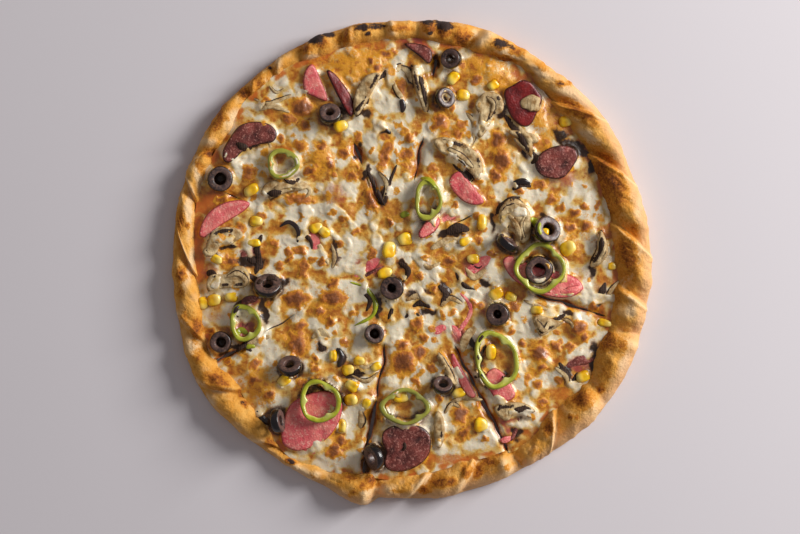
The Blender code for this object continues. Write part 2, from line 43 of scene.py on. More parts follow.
print("frame loaded", len(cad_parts), "nodes")

# Places are pixels of a picture from straight above, as in the part's own source
picture = {"pizza": 0.300, "across": 481.0, "centre": (412.53, 262.6), "hub": (412, 260)}
perPixel = picture["pizza"] / picture["across"]


def at(u, v):
    return Vector(((u - picture["centre"][0]) * perPixel, (picture["centre"][1] - v) * perPixel))


def toPicture(x, y):
    return x / perPixel + picture["centre"][0], picture["centre"][1] - y / perPixel


def fromHub(x, y):
    hub = at(*picture["hub"])
    return np.arctan2(y - hub.y, x - hub.x), np.hypot(x - hub.x, y - hub.y)


# Small helpers for noise, painting and maps


def noiseField(x, y, span, layer=0.0):
    # smooth noise whose lumps are about span wide, one value for each place
    flat = zip(np.ravel(x) / span, np.ravel(y) / span)
    found = np.fromiter((noise.noise((a, b, layer)) for a, b in flat), float, count=np.size(x))
    return found.reshape(np.shape(x))


def smooth(low, high, value):
    t = np.clip((value - low) / (high - low), 0, 1)
    return t * t * (3 - 2 * t)


def clots(x, y, span, seed):
    # distance to the nearest of some scattered points, in units of span
    draw = np.random.default_rng(seed)
    count = int(0.36 / span) + 6
    jitter = draw.random((count, count, 2))
    gx, gy = x / span + count / 2, y / span + count / 2
    ix, iy = np.floor(gx).astype(int), np.floor(gy).astype(int)
    near = np.full(np.shape(x), 9.0)
    for stepX in (-1, 0, 1):
        for stepY in (-1, 0, 1):
            cellX, cellY = np.clip(ix + stepX, 0, count - 1), np.clip(iy + stepY, 0, count - 1)
            place = jitter[cellX, cellY]
            near = np.minimum(near, np.hypot(gx - cellX - place[..., 0], gy - cellY - place[..., 1]))
    return near


def paint(rows, u, v, edge=0.35):
    # soft ellipses: picture point, width, height, turn in degrees, strength; the last three may be left out
    total = np.zeros(np.shape(u))
    for row in rows:
        midU, midV, wide = row[:3]
        high, turn, strength = (tuple(row[3:]) + (wide, 0, 1.0)[len(row) - 3:])[:3]
        c, s = math.cos(math.radians(turn)), math.sin(math.radians(turn))
        along = ((u - midU) * c + (midV - v) * s) / (wide / 2)
        across = ((midV - v) * c - (u - midU) * s) / (high / 2)
        away = np.hypot(along, across)
        total = np.maximum(total, strength * smooth(1 + edge, 1 - edge, away))
    return total


def hexColour(code):
    parts = [int(code[i:i + 2], 16) / 255 for i in (1, 3, 5)]
    return [p / 12.92 if p <= 0.04045 else ((p + 0.055) / 1.055) ** 2.4 for p in parts] + [1.0]


def addNode(tree, kind, inputs=(), **settings):
    made = tree.nodes.new("ShaderNode" + kind)
    for name, value in settings.items():
        setattr(made, name, value)
    for name, value in dict(inputs).items():
        if isinstance(value, bpy.types.NodeSocket):
            tree.links.new(value, made.inputs[name])
        else:
            made.inputs[name].default_value = value
    return made


def newFinish(name, roughness, **fixed):
    # a material with constants on its sockets, and the coordinates that its patterns follow
    made = bpy.data.materials.new(name)
    made.use_nodes = True
    tree = made.node_tree
    shader = tree.nodes["Principled BSDF"]
    shader.inputs["Roughness"].default_value = roughness
    for socket, value in fixed.items():
        shader.inputs[socket.replace("_", " ")].default_value = value
    return made, tree, shader, addNode(tree, "TexCoord").outputs["Object"]


def floatLayers(bm, *names):
    return [bm.verts.layers.float.new(name) for name in names]


def addPiece(name, bm, finish, replaced=(), flat=False):
    # a finished piece from a bmesh, riding on the one body
    mesh = bpy.data.meshes.new(name)
    bm.to_mesh(mesh)
    bm.free()
    mesh.materials.append(finish)
    if not flat:
        mesh.polygons.foreach_set("use_smooth", [True] * len(mesh.polygons))
    made = bpy.data.objects.new(name, mesh)
    bpy.context.scene.collection.objects.link(made)
    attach(made, "root")
    if replaced:
        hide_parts(*replaced)
    return made


# The rim: the part's own outlines and creases, with folds, blisters and toasted patches

rimMade = {
    "outer": (
        (400, 20), (357, 23), (330, 31), (290, 49), (252, 77), (222, 106), (200, 140), (184, 178),
        (174, 220), (172, 262), (175, 305), (183, 348), (203, 396), (234, 428), (278, 461),
        (325, 488), (352, 503), (368, 506), (380, 499), (424, 500), (480, 489), (536, 463),
        (575, 438), (605, 409), (631, 367), (647, 314), (653, 270), (645, 208), (627, 158),
        (600, 109), (560, 74), (520, 46), (477, 25), (440, 20)),
    "inner": (
        (405, 40), (365, 44), (325, 56), (290, 68), (264, 86), (240, 110), (230, 132), (217, 152),
        (203, 185), (196, 222), (195, 255), (200, 290), (205, 332), (216, 361), (238, 385),
        (262, 420), (290, 455), (318, 467), (362, 474), (400, 478), (440, 468), (480, 457),
        (522, 445), (552, 410), (584, 384), (598, 350), (611, 315), (616, 272), (609, 220),
        (598, 178), (578, 138), (548, 100), (520, 68), (466, 50), (435, 42)),
    "creases": (
        ((463, 52), (480, 27), 3.2), ((550, 91), (605, 113), 3.6), ((587, 147), (635, 178), 4.2),
        ((608, 218), (640, 252), 4.0), ((617, 281), (640, 303), 3.6), ((603, 328), (637, 333), 3.8),
        ((585, 378), (603, 402), 2.6), ((561, 408), (551, 449), 4.0), ((509, 449), (523, 470), 3.4),
        ((480, 459), (464, 488), 4.0), ((435, 472), (412, 494), 3.6), ((378, 478), (372, 502), 4.4),
        ((330, 470), (322, 486), 2.2), ((286, 453), (258, 446), 2.6), ((241, 398), (203, 388), 3.2),
        ((207, 350), (181, 326), 3.0), ((200, 284), (177, 224), 3.4), ((194, 208), (182, 180), 3.0),
        ((218, 152), (194, 150), 2.8), ((251, 104), (245, 82), 2.8), ((272, 80), (268, 60), 2.0),
        ((297, 62), (302, 43), 2.8), ((341, 50), (343, 28), 2.4), ((386, 42), (384, 21), 2.0),
        ((420, 42), (416, 20), 2.0)),
    "low": 8.0 * mm, "rise": 0.40, "before": 3.4 * mm, "after": 8.0 * mm,
    "section": (
        (0.30, 0.012), (0.88, 0.012), (0.97, 0.10), (1.00, 0.30), (0.975, 0.55), (0.90, 0.78),
        (0.76, 0.94), (0.58, 1.00), (0.38, 0.95), (0.20, 0.80), (0.07, 0.58), (-0.01, 0.36),
        (0.02, 0.012)),
    "step": 1.0 * mm, "rows": 60, "slit": 0.7 * mm, "slitWide": 1.1 * mm,
    "ridge": 5.0 * mm, "ridgeWide": 2.4 * mm, "ridgeRise": 1.3 * mm, "deep": 1.6,
    "smallBlisters": 90, "seed": 41,
    "toastedAndCreaseShade": (
        (180, 220, 9, 24), (188, 226, 6, 7), (181, 275, 10, 16), (180, 293, 8, 12),
        (197, 327, 14, 22), (199, 357, 12, 12), (216, 379, 26, 20), (225, 383, 10, 9),
        (241, 394, 10, 9), (245, 404, 8, 7), (270, 443, 12, 10), (291, 461, 12, 8),
        (350, 477, 16, 9), (201, 168, 8, 20, 20, 0.7), (210, 152, 20, 7, 10), (219, 118, 12, 34, -25),
        (245, 92, 16, 13), (258, 85, 12, 22), (272, 72, 12, 14, 0, 0.7), (305, 48, 16, 12),
        (322, 44, 14, 12), (345, 36, 18, 16, 0, 0.8), (402, 28, 18, 8), (430, 27, 14, 13),
        (444, 31, 18, 18), (461, 37, 22, 20), (500, 45, 16, 10), (518, 50, 18, 12),
        (504, 58, 30, 6, -20), (542, 66, 18, 10, -30, 0.8), (561, 84, 10, 8), (569, 83, 8, 7),
        (580, 112, 44, 16, -30), (607, 180, 34, 62, 30), (601, 200, 20, 30, 20, 0.8),
        (628, 256, 22, 40, 10), (618, 295, 14, 22, 0, 0.7), (608, 342, 18, 20), (606, 370, 14, 26, 0, 0.7),
        (600, 391, 10, 9), (582, 399, 22, 20, 30), (571, 417, 5, 5), (577, 418, 5, 5),
        (548, 427, 9, 20), (498, 452, 12, 9), (491, 462, 14, 10), (478, 474, 10, 18),
        (466, 471, 10, 15), (440, 482, 16, 12), (425, 492, 16, 9), (452, 482, 10, 9),
        (371, 480, 14, 12), (362, 486, 10, 9), (352, 494, 9, 8), (318, 481, 22, 6, -20, 0.7),
        (622, 345, 12, 18, 20, 0.7), (636, 230, 10, 20, 0, 0.7), (520, 465, 12, 9, 0, 0.8),
        (400, 492, 16, 8, 0, 0.6), (536, 452, 14, 10, 0, 0.6), (186, 318, 9, 18, 0, 0.6)),
    "charred": (
        (316, 38, 16, 12), (328, 33, 12, 8), (361, 27, 12, 8), (368, 34, 5, 5), (377, 26, 20, 7, 0, 0.7),
        (428, 22, 14, 7, 0, 0.8), (444, 24, 17, 14), (430, 33, 5, 5), (500, 43, 13, 9),
        (511, 47, 9, 6, 0, 0.7), (243, 404, 4, 3), (270, 67, 5, 4), (561, 84, 5, 4), (291, 461, 6, 4)),
    "flouryAndCrestHighlight": (
        (189, 212, 6, 50), (190, 268, 7, 46, -15), (193, 344, 14, 18), (218, 391, 14, 6),
        (199, 176, 8, 44, 12), (233, 119, 12, 22, -30), (273, 82, 24, 14, 40), (312, 57, 14, 6),
        (471, 39, 7, 28, -30), (510, 54, 30, 9, -20), (577, 96, 46, 15, -25), (590, 138, 26, 8, -40),
        (633, 265, 8, 50, -25), (630, 310, 12, 14), (553, 431, 8, 34, 10), (470, 473, 7, 30, -30),
        (423, 482, 7, 28, -50), (370, 503, 16, 8), (366, 492, 12, 9), (624, 364, 10, 22, -20),
        (610, 400, 18, 9, 50), (508, 472, 16, 8, 20), (384, 490, 22, 9), (300, 470, 26, 8, -30),
        (210, 400, 14, 9, -50), (541, 72, 26, 8, -35), (640, 205, 8, 30, -10)),
    "bubbles": (
        (507, 468, 13, 1.3), (561, 84, 9, 0.9), (569, 83, 7, 0.8), (444, 27, 15, 1.4),
        (316, 39, 15, 1.3), (345, 34, 16, 1.2), (500, 44, 12, 1.0), (245, 92, 13, 1.1),
        (466, 471, 10, 1.0), (582, 399, 14, 1.0), (571, 417, 5, 0.6), (577, 418, 5, 0.6),
        (371, 480, 12, 1.2), (181, 275, 9, 0.8), (608, 180, 18, 0.9), (618, 205, 14, 0.9),
        (428, 26, 12, 1.0), (461, 36, 14, 1.0), (216, 380, 12, 1.0), (200, 328, 12, 0.9)),
}


def smoothOutline(points):
    # a closed curve through picture points, as the distance from the hub at each angle
    polar = sorted((float(a), float(r)) for a, r in (fromHub(*at(*point)) for point in points))
    count = len(polar)

    def knot(index):
        turns, place = divmod(index, count)
        return polar[place][0] + turns * math.tau, polar[place][1]

    angles, radii = [], []
    for index in range(count):
        before, start, end, beyond = (knot(index + step) for step in (-1, 0, 1, 2))
        span = end[0] - start[0]
        leave = (end[1] - before[1]) / (end[0] - before[0]) * span
        arrive = (beyond[1] - start[1]) / (beyond[0] - start[0]) * span
        for t in np.arange(0, 1, 0.02):
            angles.append(start[0] + t * span)
            radii.append((1 + 2 * t) * (1 - t) ** 2 * start[1] + t * (1 - t) ** 2 * leave
                         + t * t * (3 - 2 * t) * end[1] + t * t * (t - 1) * arrive)
    return lambda angle: np.interp(angle, angles, radii, period=math.tau)


outerAt = smoothOutline(rimMade["outer"])
innerAt = smoothOutline(rimMade["inner"])


def rimStations():
    # lines across the rim that follow the creases: angle, lean, and how far it is from a crease
    creases = []
    for inner, outer, depth in rimMade["creases"]:
        start = float(fromHub(*at(*inner))[0])
        lean = (float(fromHub(*at(*outer))[0]) - start + math.pi) % math.tau - math.pi
        creases.append((start % math.tau, lean, depth * mm))
    creases.sort()
    rows = []
    for index, (start, lean, depth) in enumerate(creases):
        turns, following = divmod(index + 1, len(creases))
        nextStart, nextLean, nextDepth = creases[following]
        span = nextStart + turns * math.tau - start
        arc = span * float(innerAt(start))
        steps = max(4, round(arc / rimMade["step"]))
        for t in np.arange(steps) / steps:
            past, ahead = t * arc, (1 - t) * arc
            drop = max(depth * math.exp(-(past / rimMade["after"]) ** 2),
                       nextDepth * math.exp(-(ahead / rimMade["before"]) ** 2))
            slit = math.exp(-(min(past, ahead) / rimMade["slitWide"]) ** 2)
            ridge = math.exp(-((ahead - rimMade["ridge"]) / rimMade["ridgeWide"]) ** 2)
            rows.append((start + t * span, lean + t * (nextLean - lean), drop, slit, ridge))
    return np.array(rows)


def curveBetween(before, start, end, beyond, t):
    # the smooth curve from start to end that the points on both sides lead into
    return 0.5 * (2 * start + t * (end - before) + t * t * (2 * before - 5 * start + 4 * end - beyond)
                  + t ** 3 * (3 * start - before - 3 * end + beyond))


def runAlong(curve):
    return np.concatenate([[0], np.cumsum(np.hypot(*np.diff(curve, axis=0).T))])


def pointsAt(wanted, run, curve):
    return np.column_stack([np.interp(wanted, run, curve[:, i]) for i in (0, 1)])


def roundedSection(points, count):
    # points along a closed smooth curve, evenly spaced
    points = np.array(points)
    following, beyond, before = (np.roll(points, -step, 0) for step in (1, 2, -1))
    t = np.linspace(0, 1, 12, endpoint=False)[:, None, None]
    curve = curveBetween(before, points, following, beyond, t).transpose(1, 0, 2).reshape(-1, 2)
    closed = np.vstack([curve, curve[:1]])
    run = runAlong(closed)
    return pointsAt(np.linspace(0, run[-1], count, endpoint=False), run, closed)


def crustFinish():
    # Hand-stretched bread baked on stone: matt and floury, golden where thin, toasted on the high
    # spots. It gives the eye a dry, finely pitted skin with cream ridges and brown blisters; the cream
    # on the fold crests is a painted highlight, the browner creases are painted shade, and the dull
    # tone on the outer wall facing the window light is dust and painted shade.
    made, tree, shader, coords = newFinish("baked bread crust", 0.74, Specular_IOR_Level=0.28)
    patchy = addNode(tree, "TexNoise", {"Vector": coords, "Scale": 1 / 0.009, "Detail": 4.0,
                                        "Roughness": 0.6}).outputs["Fac"]
    fine = addNode(tree, "TexNoise", {"Vector": coords, "Scale": 1 / 0.0016, "Detail": 4.0,
                                      "Roughness": 0.65}).outputs["Fac"]
    share = addNode(tree, "MapRange", {"Value": patchy, "From Min": 0.32, "From Max": 0.68}).outputs[0]
    colour = addNode(tree, "Mix", {0: share, 6: hexColour("#DB9430"), 7: hexColour("#EBB25A")},
                     data_type="RGBA").outputs[2]
    # flour with a painted highlight on the fold crests, then dust with painted shade on the outer wall facing
    # the window light
    for name, code in (("flouryAndCrestHighlight", "#ECC796"), ("dustAndLampSideShade", "#D9AA7E")):
        powder = addNode(tree, "Attribute", attribute_name=name).outputs["Fac"]
        colour = addNode(tree, "Mix", {0: powder, 6: colour, 7: hexColour(code)}, data_type="RGBA").outputs[2]
    # toast, and painted shade in the creases of the folds
    toastedAndCreaseShade = addNode(tree, "Attribute", attribute_name="toastedAndCreaseShade").outputs["Fac"]
    uneven = addNode(tree, "Math", {0: patchy, 1: 0.5}, operation="SUBTRACT").outputs[0]
    grainy = addNode(tree, "Math", {0: fine, 1: 0.5}, operation="SUBTRACT").outputs[0]
    ragged = addNode(tree, "Math", {0: grainy, 1: 1.5, 2: toastedAndCreaseShade}, operation="MULTIPLY_ADD").outputs[0]
    ragged = addNode(tree, "Math", {0: uneven, 1: 1.1, 2: ragged}, operation="MULTIPLY_ADD").outputs[0]
    for low, high, code in ((0.18, 0.60, "#D28A2A"), (0.56, 0.98, "#A65E18"), (0.92, 1.3, "#5E2E0C")):
        share = addNode(tree, "MapRange", {"Value": ragged, "From Min": low, "From Max": high},
                        interpolation_type="SMOOTHSTEP").outputs[0]
        colour = addNode(tree, "Mix", {0: share, 6: colour, 7: hexColour(code)}, data_type="RGBA").outputs[2]
    charred = addNode(tree, "Attribute", attribute_name="charred").outputs["Fac"]
    burnt = addNode(tree, "Math", {0: grainy, 1: 1.6, 2: charred}, operation="MULTIPLY_ADD").outputs[0]
    share = addNode(tree, "MapRange", {"Value": burnt, "From Min": 0.12, "From Max": 0.92},
                    interpolation_type="SMOOTHSTEP").outputs[0]
    colour = addNode(tree, "Mix", {0: share, 6: colour, 7: hexColour("#34221C")}, data_type="RGBA").outputs[2]
    tree.links.new(colour, shader.inputs["Base Color"])
    pits = addNode(tree, "TexNoise", {"Vector": coords, "Scale": 1 / 0.0007, "Detail": 3.0}).outputs["Fac"]
    coarse = addNode(tree, "Bump", {"Height": fine, "Distance": 0.0012, "Strength": 0.85}).outputs[0]
    skin = addNode(tree, "Bump", {"Height": pits, "Distance": 0.0004, "Strength": 0.6,
                                  "Normal": coarse}).outputs[0]
    tree.links.new(skin, shader.inputs["Normal"])
    return made


def buildRim(finish):
    stations = rimStations()
    section = roundedSection(rimMade["section"], rimMade["rows"])
    bm = bmesh.new()
    bmesh.ops.create_grid(bm, x_segments=len(stations), y_segments=len(section), size=1)
    across = len(stations) + 1
    order = np.arange(len(bm.verts))
    row, column = (order // across) % len(section), (order % across) % len(stations)
    start, lean, drop, slit, ridge = stations[column].T
    share, level = section[row].T
    angle = start + lean * share
    inner, outer = innerAt(angle), outerAt(angle)
    width = outer - inner
    height = (rimMade["low"] + rimMade["rise"] * width) * level
    high = smooth(0.05, 0.5, level)
    height -= (drop * rimMade["deep"] + slit * rimMade["slit"]) * level
    height += rimMade["ridgeRise"] * ridge * level
    radius = inner + width * share - (0.45 * drop + 0.8 * slit * rimMade["slit"]) * share * high
    hub = at(*picture["hub"])
    x, y = hub.x + radius * np.cos(angle), hub.y + radius * np.sin(angle)
    u, v = toPicture(x, y)
    # relief, pushed up and outwards: long wrinkles, lumps, blisters, then fine grain
    lumps = noiseField(x, y, 10 * mm, 3.1) * 1.2 + noiseField(x, y, 4.6 * mm, 7.7) * 0.75
    wrinkle = noiseField(start * 0.135 / (4.5 * mm), share * 1.6, 1.0, 5.0) * 0.5
    wrinkle -= 0.5 * smooth(0.10, 0.0, np.abs(noiseField(x, y, 8 * mm, 15.0)))
    grain = noiseField(x, y + height, 1.9 * mm, 1.3) * 0.22
    blisters = np.zeros(len(order))
    for midU, midV, wide, rise in rimMade["bubbles"]:
        away = np.hypot(u - midU, v - midV) / (wide / 2)
        blisters = np.maximum(blisters, rise * smooth(1.15, 0.2, away))
    draw = np.random.default_rng(rimMade["seed"])
    for _ in range(rimMade["smallBlisters"]):
        turn, out = draw.random() * math.tau, draw.random()
        reach = float(innerAt(turn) + (outerAt(turn) - innerAt(turn)) * (0.2 + 0.75 * out))
        spot = hub + reach * Vector((math.cos(turn), math.sin(turn)))
        wide = 1.3 + 2.2 * draw.random() ** 2
        rise = 0.25 + 0.35 * draw.random()
        away = np.hypot(x - spot.x, y - spot.y) / (wide * mm)
        blisters = np.maximum(blisters, rise * smooth(1.1, 0.2, away))
    relief = (lumps + wrinkle + grain + blisters) * mm * high
    upward = np.sin(np.clip(share, 0, 1) * math.pi) * 0.6 + 0.4
    height += relief * upward
    outward = np.clip((share - 0.55) * 2.2, -1, 1)
    x += relief * outward * np.cos(angle) * 0.8
    y += relief * outward * np.sin(angle) * 0.8
    height = np.maximum(height, 0.1 * mm)
    for vert, place in zip(bm.verts, np.column_stack([x, y, height])):
        vert.co = place
    toastedAndCreaseShade, charred, flouryAndCrestHighlight, dustAndLampSideShade = floatLayers(bm, "toastedAndCreaseShade", "charred", "flouryAndCrestHighlight", "dustAndLampSideShade")
    warpU = u + 3.0 * noiseField(x, y, 4 * mm, 11.0)
    warpV = v + 3.0 * noiseField(x, y, 4 * mm, 12.0)
    brown = paint(rimMade["toastedAndCreaseShade"], warpU, warpV, 0.9)
    brown = np.maximum(brown, smooth(0.35, 1.1, blisters) * 0.6)
    # painted shade: browner down in the creases on the inner side, so the lobes stand out
    brown += 0.22 * smooth(0.15, 0.9, drop / (3 * mm)) * smooth(0.85, 0.4, share)
    brown += 0.10 * noiseField(x, y, 12 * mm, 81.0)
    brown = np.maximum(brown, smooth(0.72, 1.02, share) * smooth(0.75, 0.2, level) * 0.40)
    # the outer wall on the window-light side is made less brown, then dulled by the dust colour, partly dust
    # and partly painted shade that tones down the light there
    outside = smooth(0.58, 0.86, share) * smooth(-0.06, 0.05, 0.8 * x - 0.6 * y)
    brown -= 0.30 * slit + 0.35 * outside
    black = 1.15 * paint(rimMade["charred"], warpU, warpV, 0.5) * smooth(0.12, 0.55, level)
    halo = 1.15 * paint(rimMade["charred"], warpU, warpV, 0.9) * smooth(0.05, 0.4, level)
    brown = np.maximum(brown, halo)
    white = paint(rimMade["flouryAndCrestHighlight"], warpU, warpV, 0.6) * (1 - 0.5 * brown)
    dustAndLampSideShadeShare = 0.70 * outside * (1 - 0.5 * np.clip(brown, 0, 1)) * (1 - 0.8 * ridge)
    white = np.maximum(white, 0.30 * smooth(0.10, 0.5, noiseField(x, y, 7 * mm, 21.0)))
    # painted highlight: paler cream on the fold crests
    white = np.maximum(white, 0.85 * ridge * smooth(0.15, 0.4, share) * (1 - 0.6 * np.clip(brown, 0, 1)))
    for vert, a, b, c, d in zip(bm.verts, brown, black, white, dustAndLampSideShadeShare):
        vert[toastedAndCreaseShade], vert[charred], vert[flouryAndCrestHighlight], vert[dustAndLampSideShade] = a, b, c, d
    bmesh.ops.remove_doubles(bm, verts=bm.verts, dist=1e-6)
    bmesh.ops.recalc_face_normals(bm, faces=bm.faces)
    return addPiece("foldedRim", bm, finish)


crust = crustFinish()
rimPiece = buildRim(crust)
print("rim folded", len(rimPiece.data.polygons), "faces")

# The base under the cheese: the part's own dough, with its rim tucked inside the folded one

baseMade = {"thick": 5.0 * mm, "tuck": 0.80, "juice": 3.2 * mm}


def baseFinish():
    # The thin baked base: dry crumb at the knife cuts, and a floury underside with scorched spots
    made, tree, shader, coords = newFinish("baked base crumb", 0.82, Specular_IOR_Level=0.25)
    soft = addNode(tree, "TexNoise", {"Vector": coords, "Scale": 1 / 0.012, "Detail": 5.0,
                                      "Roughness": 0.62}).outputs["Fac"]
    spots = addNode(tree, "TexVoronoi", {"Vector": coords, "Scale": 1 / 0.011, "Randomness": 1.0},
                    feature="SMOOTH_F1").outputs["Distance"]
    crumb = addNode(tree, "TexNoise", {"Vector": coords, "Scale": 1 / 0.0012, "Detail": 4.0}).outputs["Fac"]
    share = addNode(tree, "MapRange", {"Value": soft, "From Min": 0.35, "From Max": 0.65}).outputs[0]
    colour = addNode(tree, "Mix", {0: share, 6: hexColour("#C98F4F"), 7: hexColour("#EACB98")},
                     data_type="RGBA").outputs[2]
    mixed = addNode(tree, "Math", {0: soft, 1: 0.8, 2: spots}, operation="MULTIPLY_ADD").outputs[0]
    scorched = addNode(tree, "MapRange", {"Value": mixed, "From Min": 0.66, "From Max": 0.50},
                       interpolation_type="SMOOTHSTEP").outputs[0]
    colour = addNode(tree, "Mix", {0: scorched, 6: colour, 7: hexColour("#7A4219")},
                     data_type="RGBA").outputs[2]
    height = addNode(tree, "SeparateXYZ", {0: coords}).outputs[2]
    deep = addNode(tree, "MapRange", {"Value": height, "From Min": 0.0009, "From Max": 0.0042}).outputs[0]
    juicy = addNode(tree, "Mix", {0: crumb, 6: hexColour("#6A2C16"), 7: hexColour("#A55A2C")},
                    data_type="RGBA").outputs[2]
    colour = addNode(tree, "Mix", {0: deep, 6: colour, 7: juicy}, data_type="RGBA").outputs[2]
    tree.links.new(colour, shader.inputs["Base Color"])
    bump = addNode(tree, "Bump", {"Height": crumb, "Distance": 0.0008, "Strength": 0.8}).outputs[0]
    tree.links.new(bump, shader.inputs["Normal"])
    return made


def buildBase(finish):
    bm = bmesh.new()
    bm.from_mesh(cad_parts["dough"].data)
    bmesh.ops.remove_doubles(bm, verts=bm.verts, dist=1e-6)
    hub = at(*picture["hub"])
    for vert in bm.verts:
        arm = vert.co.to_2d() - hub
        angle = math.atan2(arm.y, arm.x)
        inner, outer = float(innerAt(angle)), float(outerAt(angle))
        limit = inner + baseMade["tuck"] * (outer - inner)
        if arm.length > inner - 0.5 * mm:
            vert.co.z = min(vert.co.z, 0.6 * baseMade["thick"])
        elif 0.3 * mm < vert.co.z < 0.9 * baseMade["thick"]:
            vert.co.z = baseMade["juice"]  # juice and crumb have filled the bottom of the cuts
        if arm.length > limit:
            vert.co.x, vert.co.y = hub + arm * (limit / arm.length)
    return addPiece("bakedBase", bm, finish, ("dough",), flat=True)


basePiece = buildBase(baseFinish())
print("base laid")

# Poses and outlines of the loose toppings, read from the part


def cornersOf(node):
    bm = bmesh.new()
    bm.from_mesh(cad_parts[node].data)
    bmesh.ops.remove_doubles(bm, verts=bm.verts, dist=1e-6)
    return bm


def ringPose(node):
    # a ring's axis is the way in which its points spread least
    bm = cornersOf(node)
    corners = np.array([vert.co for vert in bm.verts])
    bm.free()
    middle = corners.mean(0)
    axis = Vector(np.linalg.eigh(np.cov((corners - middle).T))[1][:, 0])
    axis = axis if axis.z > 0 else -axis
    turn = Vector((0, 0, 1)).rotation_difference(axis).to_matrix().to_4x4()
    return Matrix.Translation(Vector(middle)) @ turn


def slicePose(node):
    # a flat slice's pose, and its outline in its own plane
    bm = cornersOf(node)
    bmesh.ops.dissolve_limit(bm, angle_limit=math.radians(2), verts=bm.verts, edges=bm.edges)
    middle = sum((vert.co for vert in bm.verts), Vector()) / len(bm.verts)
    largest = max(bm.faces, key=lambda face: face.calc_area())
    normal = largest.normal if largest.normal.z > 0 else -largest.normal
    turn = Vector((0, 0, 1)).rotation_difference(normal).to_matrix().to_4x4()
    pose = Matrix.Translation(middle) @ turn
    outline = [(pose.inverted() @ vert.co).to_2d() for vert in largest.verts]
    bm.free()
    return pose, np.array(outline)


def roundOutline(points, spacing):
    # an even closed curve through the outline's corners
    total = np.hypot(*(np.roll(points, -1, 0) - points).T).sum()
    curve = roundedSection(points, max(24, int(total / spacing)))
    for _ in range(8):
        curve = (np.roll(curve, 1, 0) + 2 * curve + np.roll(curve, -1, 0)) / 4
    return curve


def insideOutline(x, y, outline):
    inside = np.zeros(len(x), bool)
    for (ax, ay), (bx, by) in zip(outline, np.roll(outline, -1, 0)):
        crosses = (ay > y) != (by > y)
        with np.errstate(divide="ignore", invalid="ignore"):
            inside ^= crosses & (x < (bx - ax) * (y - ay) / (by - ay) + ax)
    return inside


def trimmedGrid(outline, cell):
    # a sheet of even cells cut to an outline, with its edge drawn onto that outline
    low, high = outline.min(0) - cell, outline.max(0) + cell
    size = high - low
    bm = bmesh.new()
    counts = [max(2, int(side / cell)) for side in size]
    bmesh.ops.create_grid(bm, x_segments=counts[0], y_segments=counts[1], size=0.5)
    centre = (low + high) / 2
    for vert in bm.verts:
        vert.co.x, vert.co.y = centre[0] + vert.co.x * size[0], centre[1] + vert.co.y * size[1]
    places = np.array([vert.co for vert in bm.verts])[:, :2]
    inside = insideOutline(places[:, 0], places[:, 1], outline)
    away = np.sqrt(((places[:, None] - outline[None]) ** 2).sum(2)).min(1)
    keep = inside | (away < 0.35 * cell)
    outside = [vert for vert, kept in zip(bm.verts, keep) if not kept]
    bmesh.ops.delete(bm, geom=outside, context="VERTS")
    loose = [vert for vert in bm.verts if not vert.link_faces]
    bmesh.ops.delete(bm, geom=loose, context="VERTS")
    for vert in bm.verts:
        if vert.is_boundary:
            nearest = outline[np.hypot(*(outline - np.array(vert.co.to_2d())).T).argmin()]
            vert.co.x, vert.co.y = nearest
    bmesh.ops.remove_doubles(bm, verts=bm.verts, dist=0.12 * cell)
    bmesh.ops.dissolve_degenerate(bm, edges=bm.edges, dist=0.05 * cell)
    return bm


toppingShapes = []  # every topping's faces and corners, for the cheese that meets them
stoneHoles = []  # where each olive ring's hole is, for the cheese seen through it


def keepShape(faces):
    verts = list(dict.fromkeys(vert for face in faces for vert in face.verts))
    index = {vert: place for place, vert in enumerate(verts)}
    corners = [vert.co.copy() for vert in verts]
    tree = BVHTree.FromPolygons(corners, [[index[vert] for vert in face.verts] for face in faces])
    toppingShapes.append((tree, np.array(corners)))


# Olive rings

oliveMade = {"count": 16, "hole": 0.44, "high": 5.2 * mm, "steps": 48, "wobble": 0.09}


def oliveFinish():
    # Ripe black olive in brine, cut across: a taut wet skin that mirrors the window, and a duller
    # purple-grey cut face with a browner rim round the stone hole
    made, tree, shader, coords = newFinish("cut black olive", 0.3, Specular_IOR_Level=0.5, Coat_Weight=0.2,
                                           Coat_Roughness=0.14)
    skin = addNode(tree, "Attribute", attribute_name="skin").outputs["Fac"]
    fibre = addNode(tree, "TexNoise", {"Vector": coords, "Scale": 1 / 0.0013, "Detail": 4.0,
                                       "Roughness": 0.6}).outputs["Fac"]
    soft = addNode(tree, "TexNoise", {"Vector": coords, "Scale": 1 / 0.006, "Detail": 2.0}).outputs["Fac"]
    share = addNode(tree, "MapRange", {"Value": soft, "From Min": 0.35, "From Max": 0.68}).outputs[0]
    flesh = addNode(tree, "Mix", {0: share, 6: hexColour("#281C1E"), 7: hexColour("#5C4440")},
                    data_type="RGBA").outputs[2]
    streak = addNode(tree, "MapRange", {"Value": fibre, "From Min": 0.42, "From Max": 0.72}).outputs[0]
    flesh = addNode(tree, "Mix", {0: streak, 6: flesh, 7: hexColour("#7A5A4A")}, data_type="RGBA").outputs[2]
    dark = addNode(tree, "Mix", {0: share, 6: hexColour("#0A0708"), 7: hexColour("#1C1215")},
                   data_type="RGBA").outputs[2]
    colour = addNode(tree, "Mix", {0: skin, 6: flesh, 7: dark}, data_type="RGBA").outputs[2]
    tree.links.new(colour, shader.inputs["Base Color"])
    rough = addNode(tree, "MapRange", {"Value": skin, "To Min": 0.5, "To Max": 0.22}).outputs[0]
    tree.links.new(rough, shader.inputs["Roughness"])
    bump = addNode(tree, "Bump", {"Height": fibre, "Distance": 0.0004, "Strength": 0.45}).outputs[0]
    tree.links.new(bump, shader.inputs["Normal"])
    return made


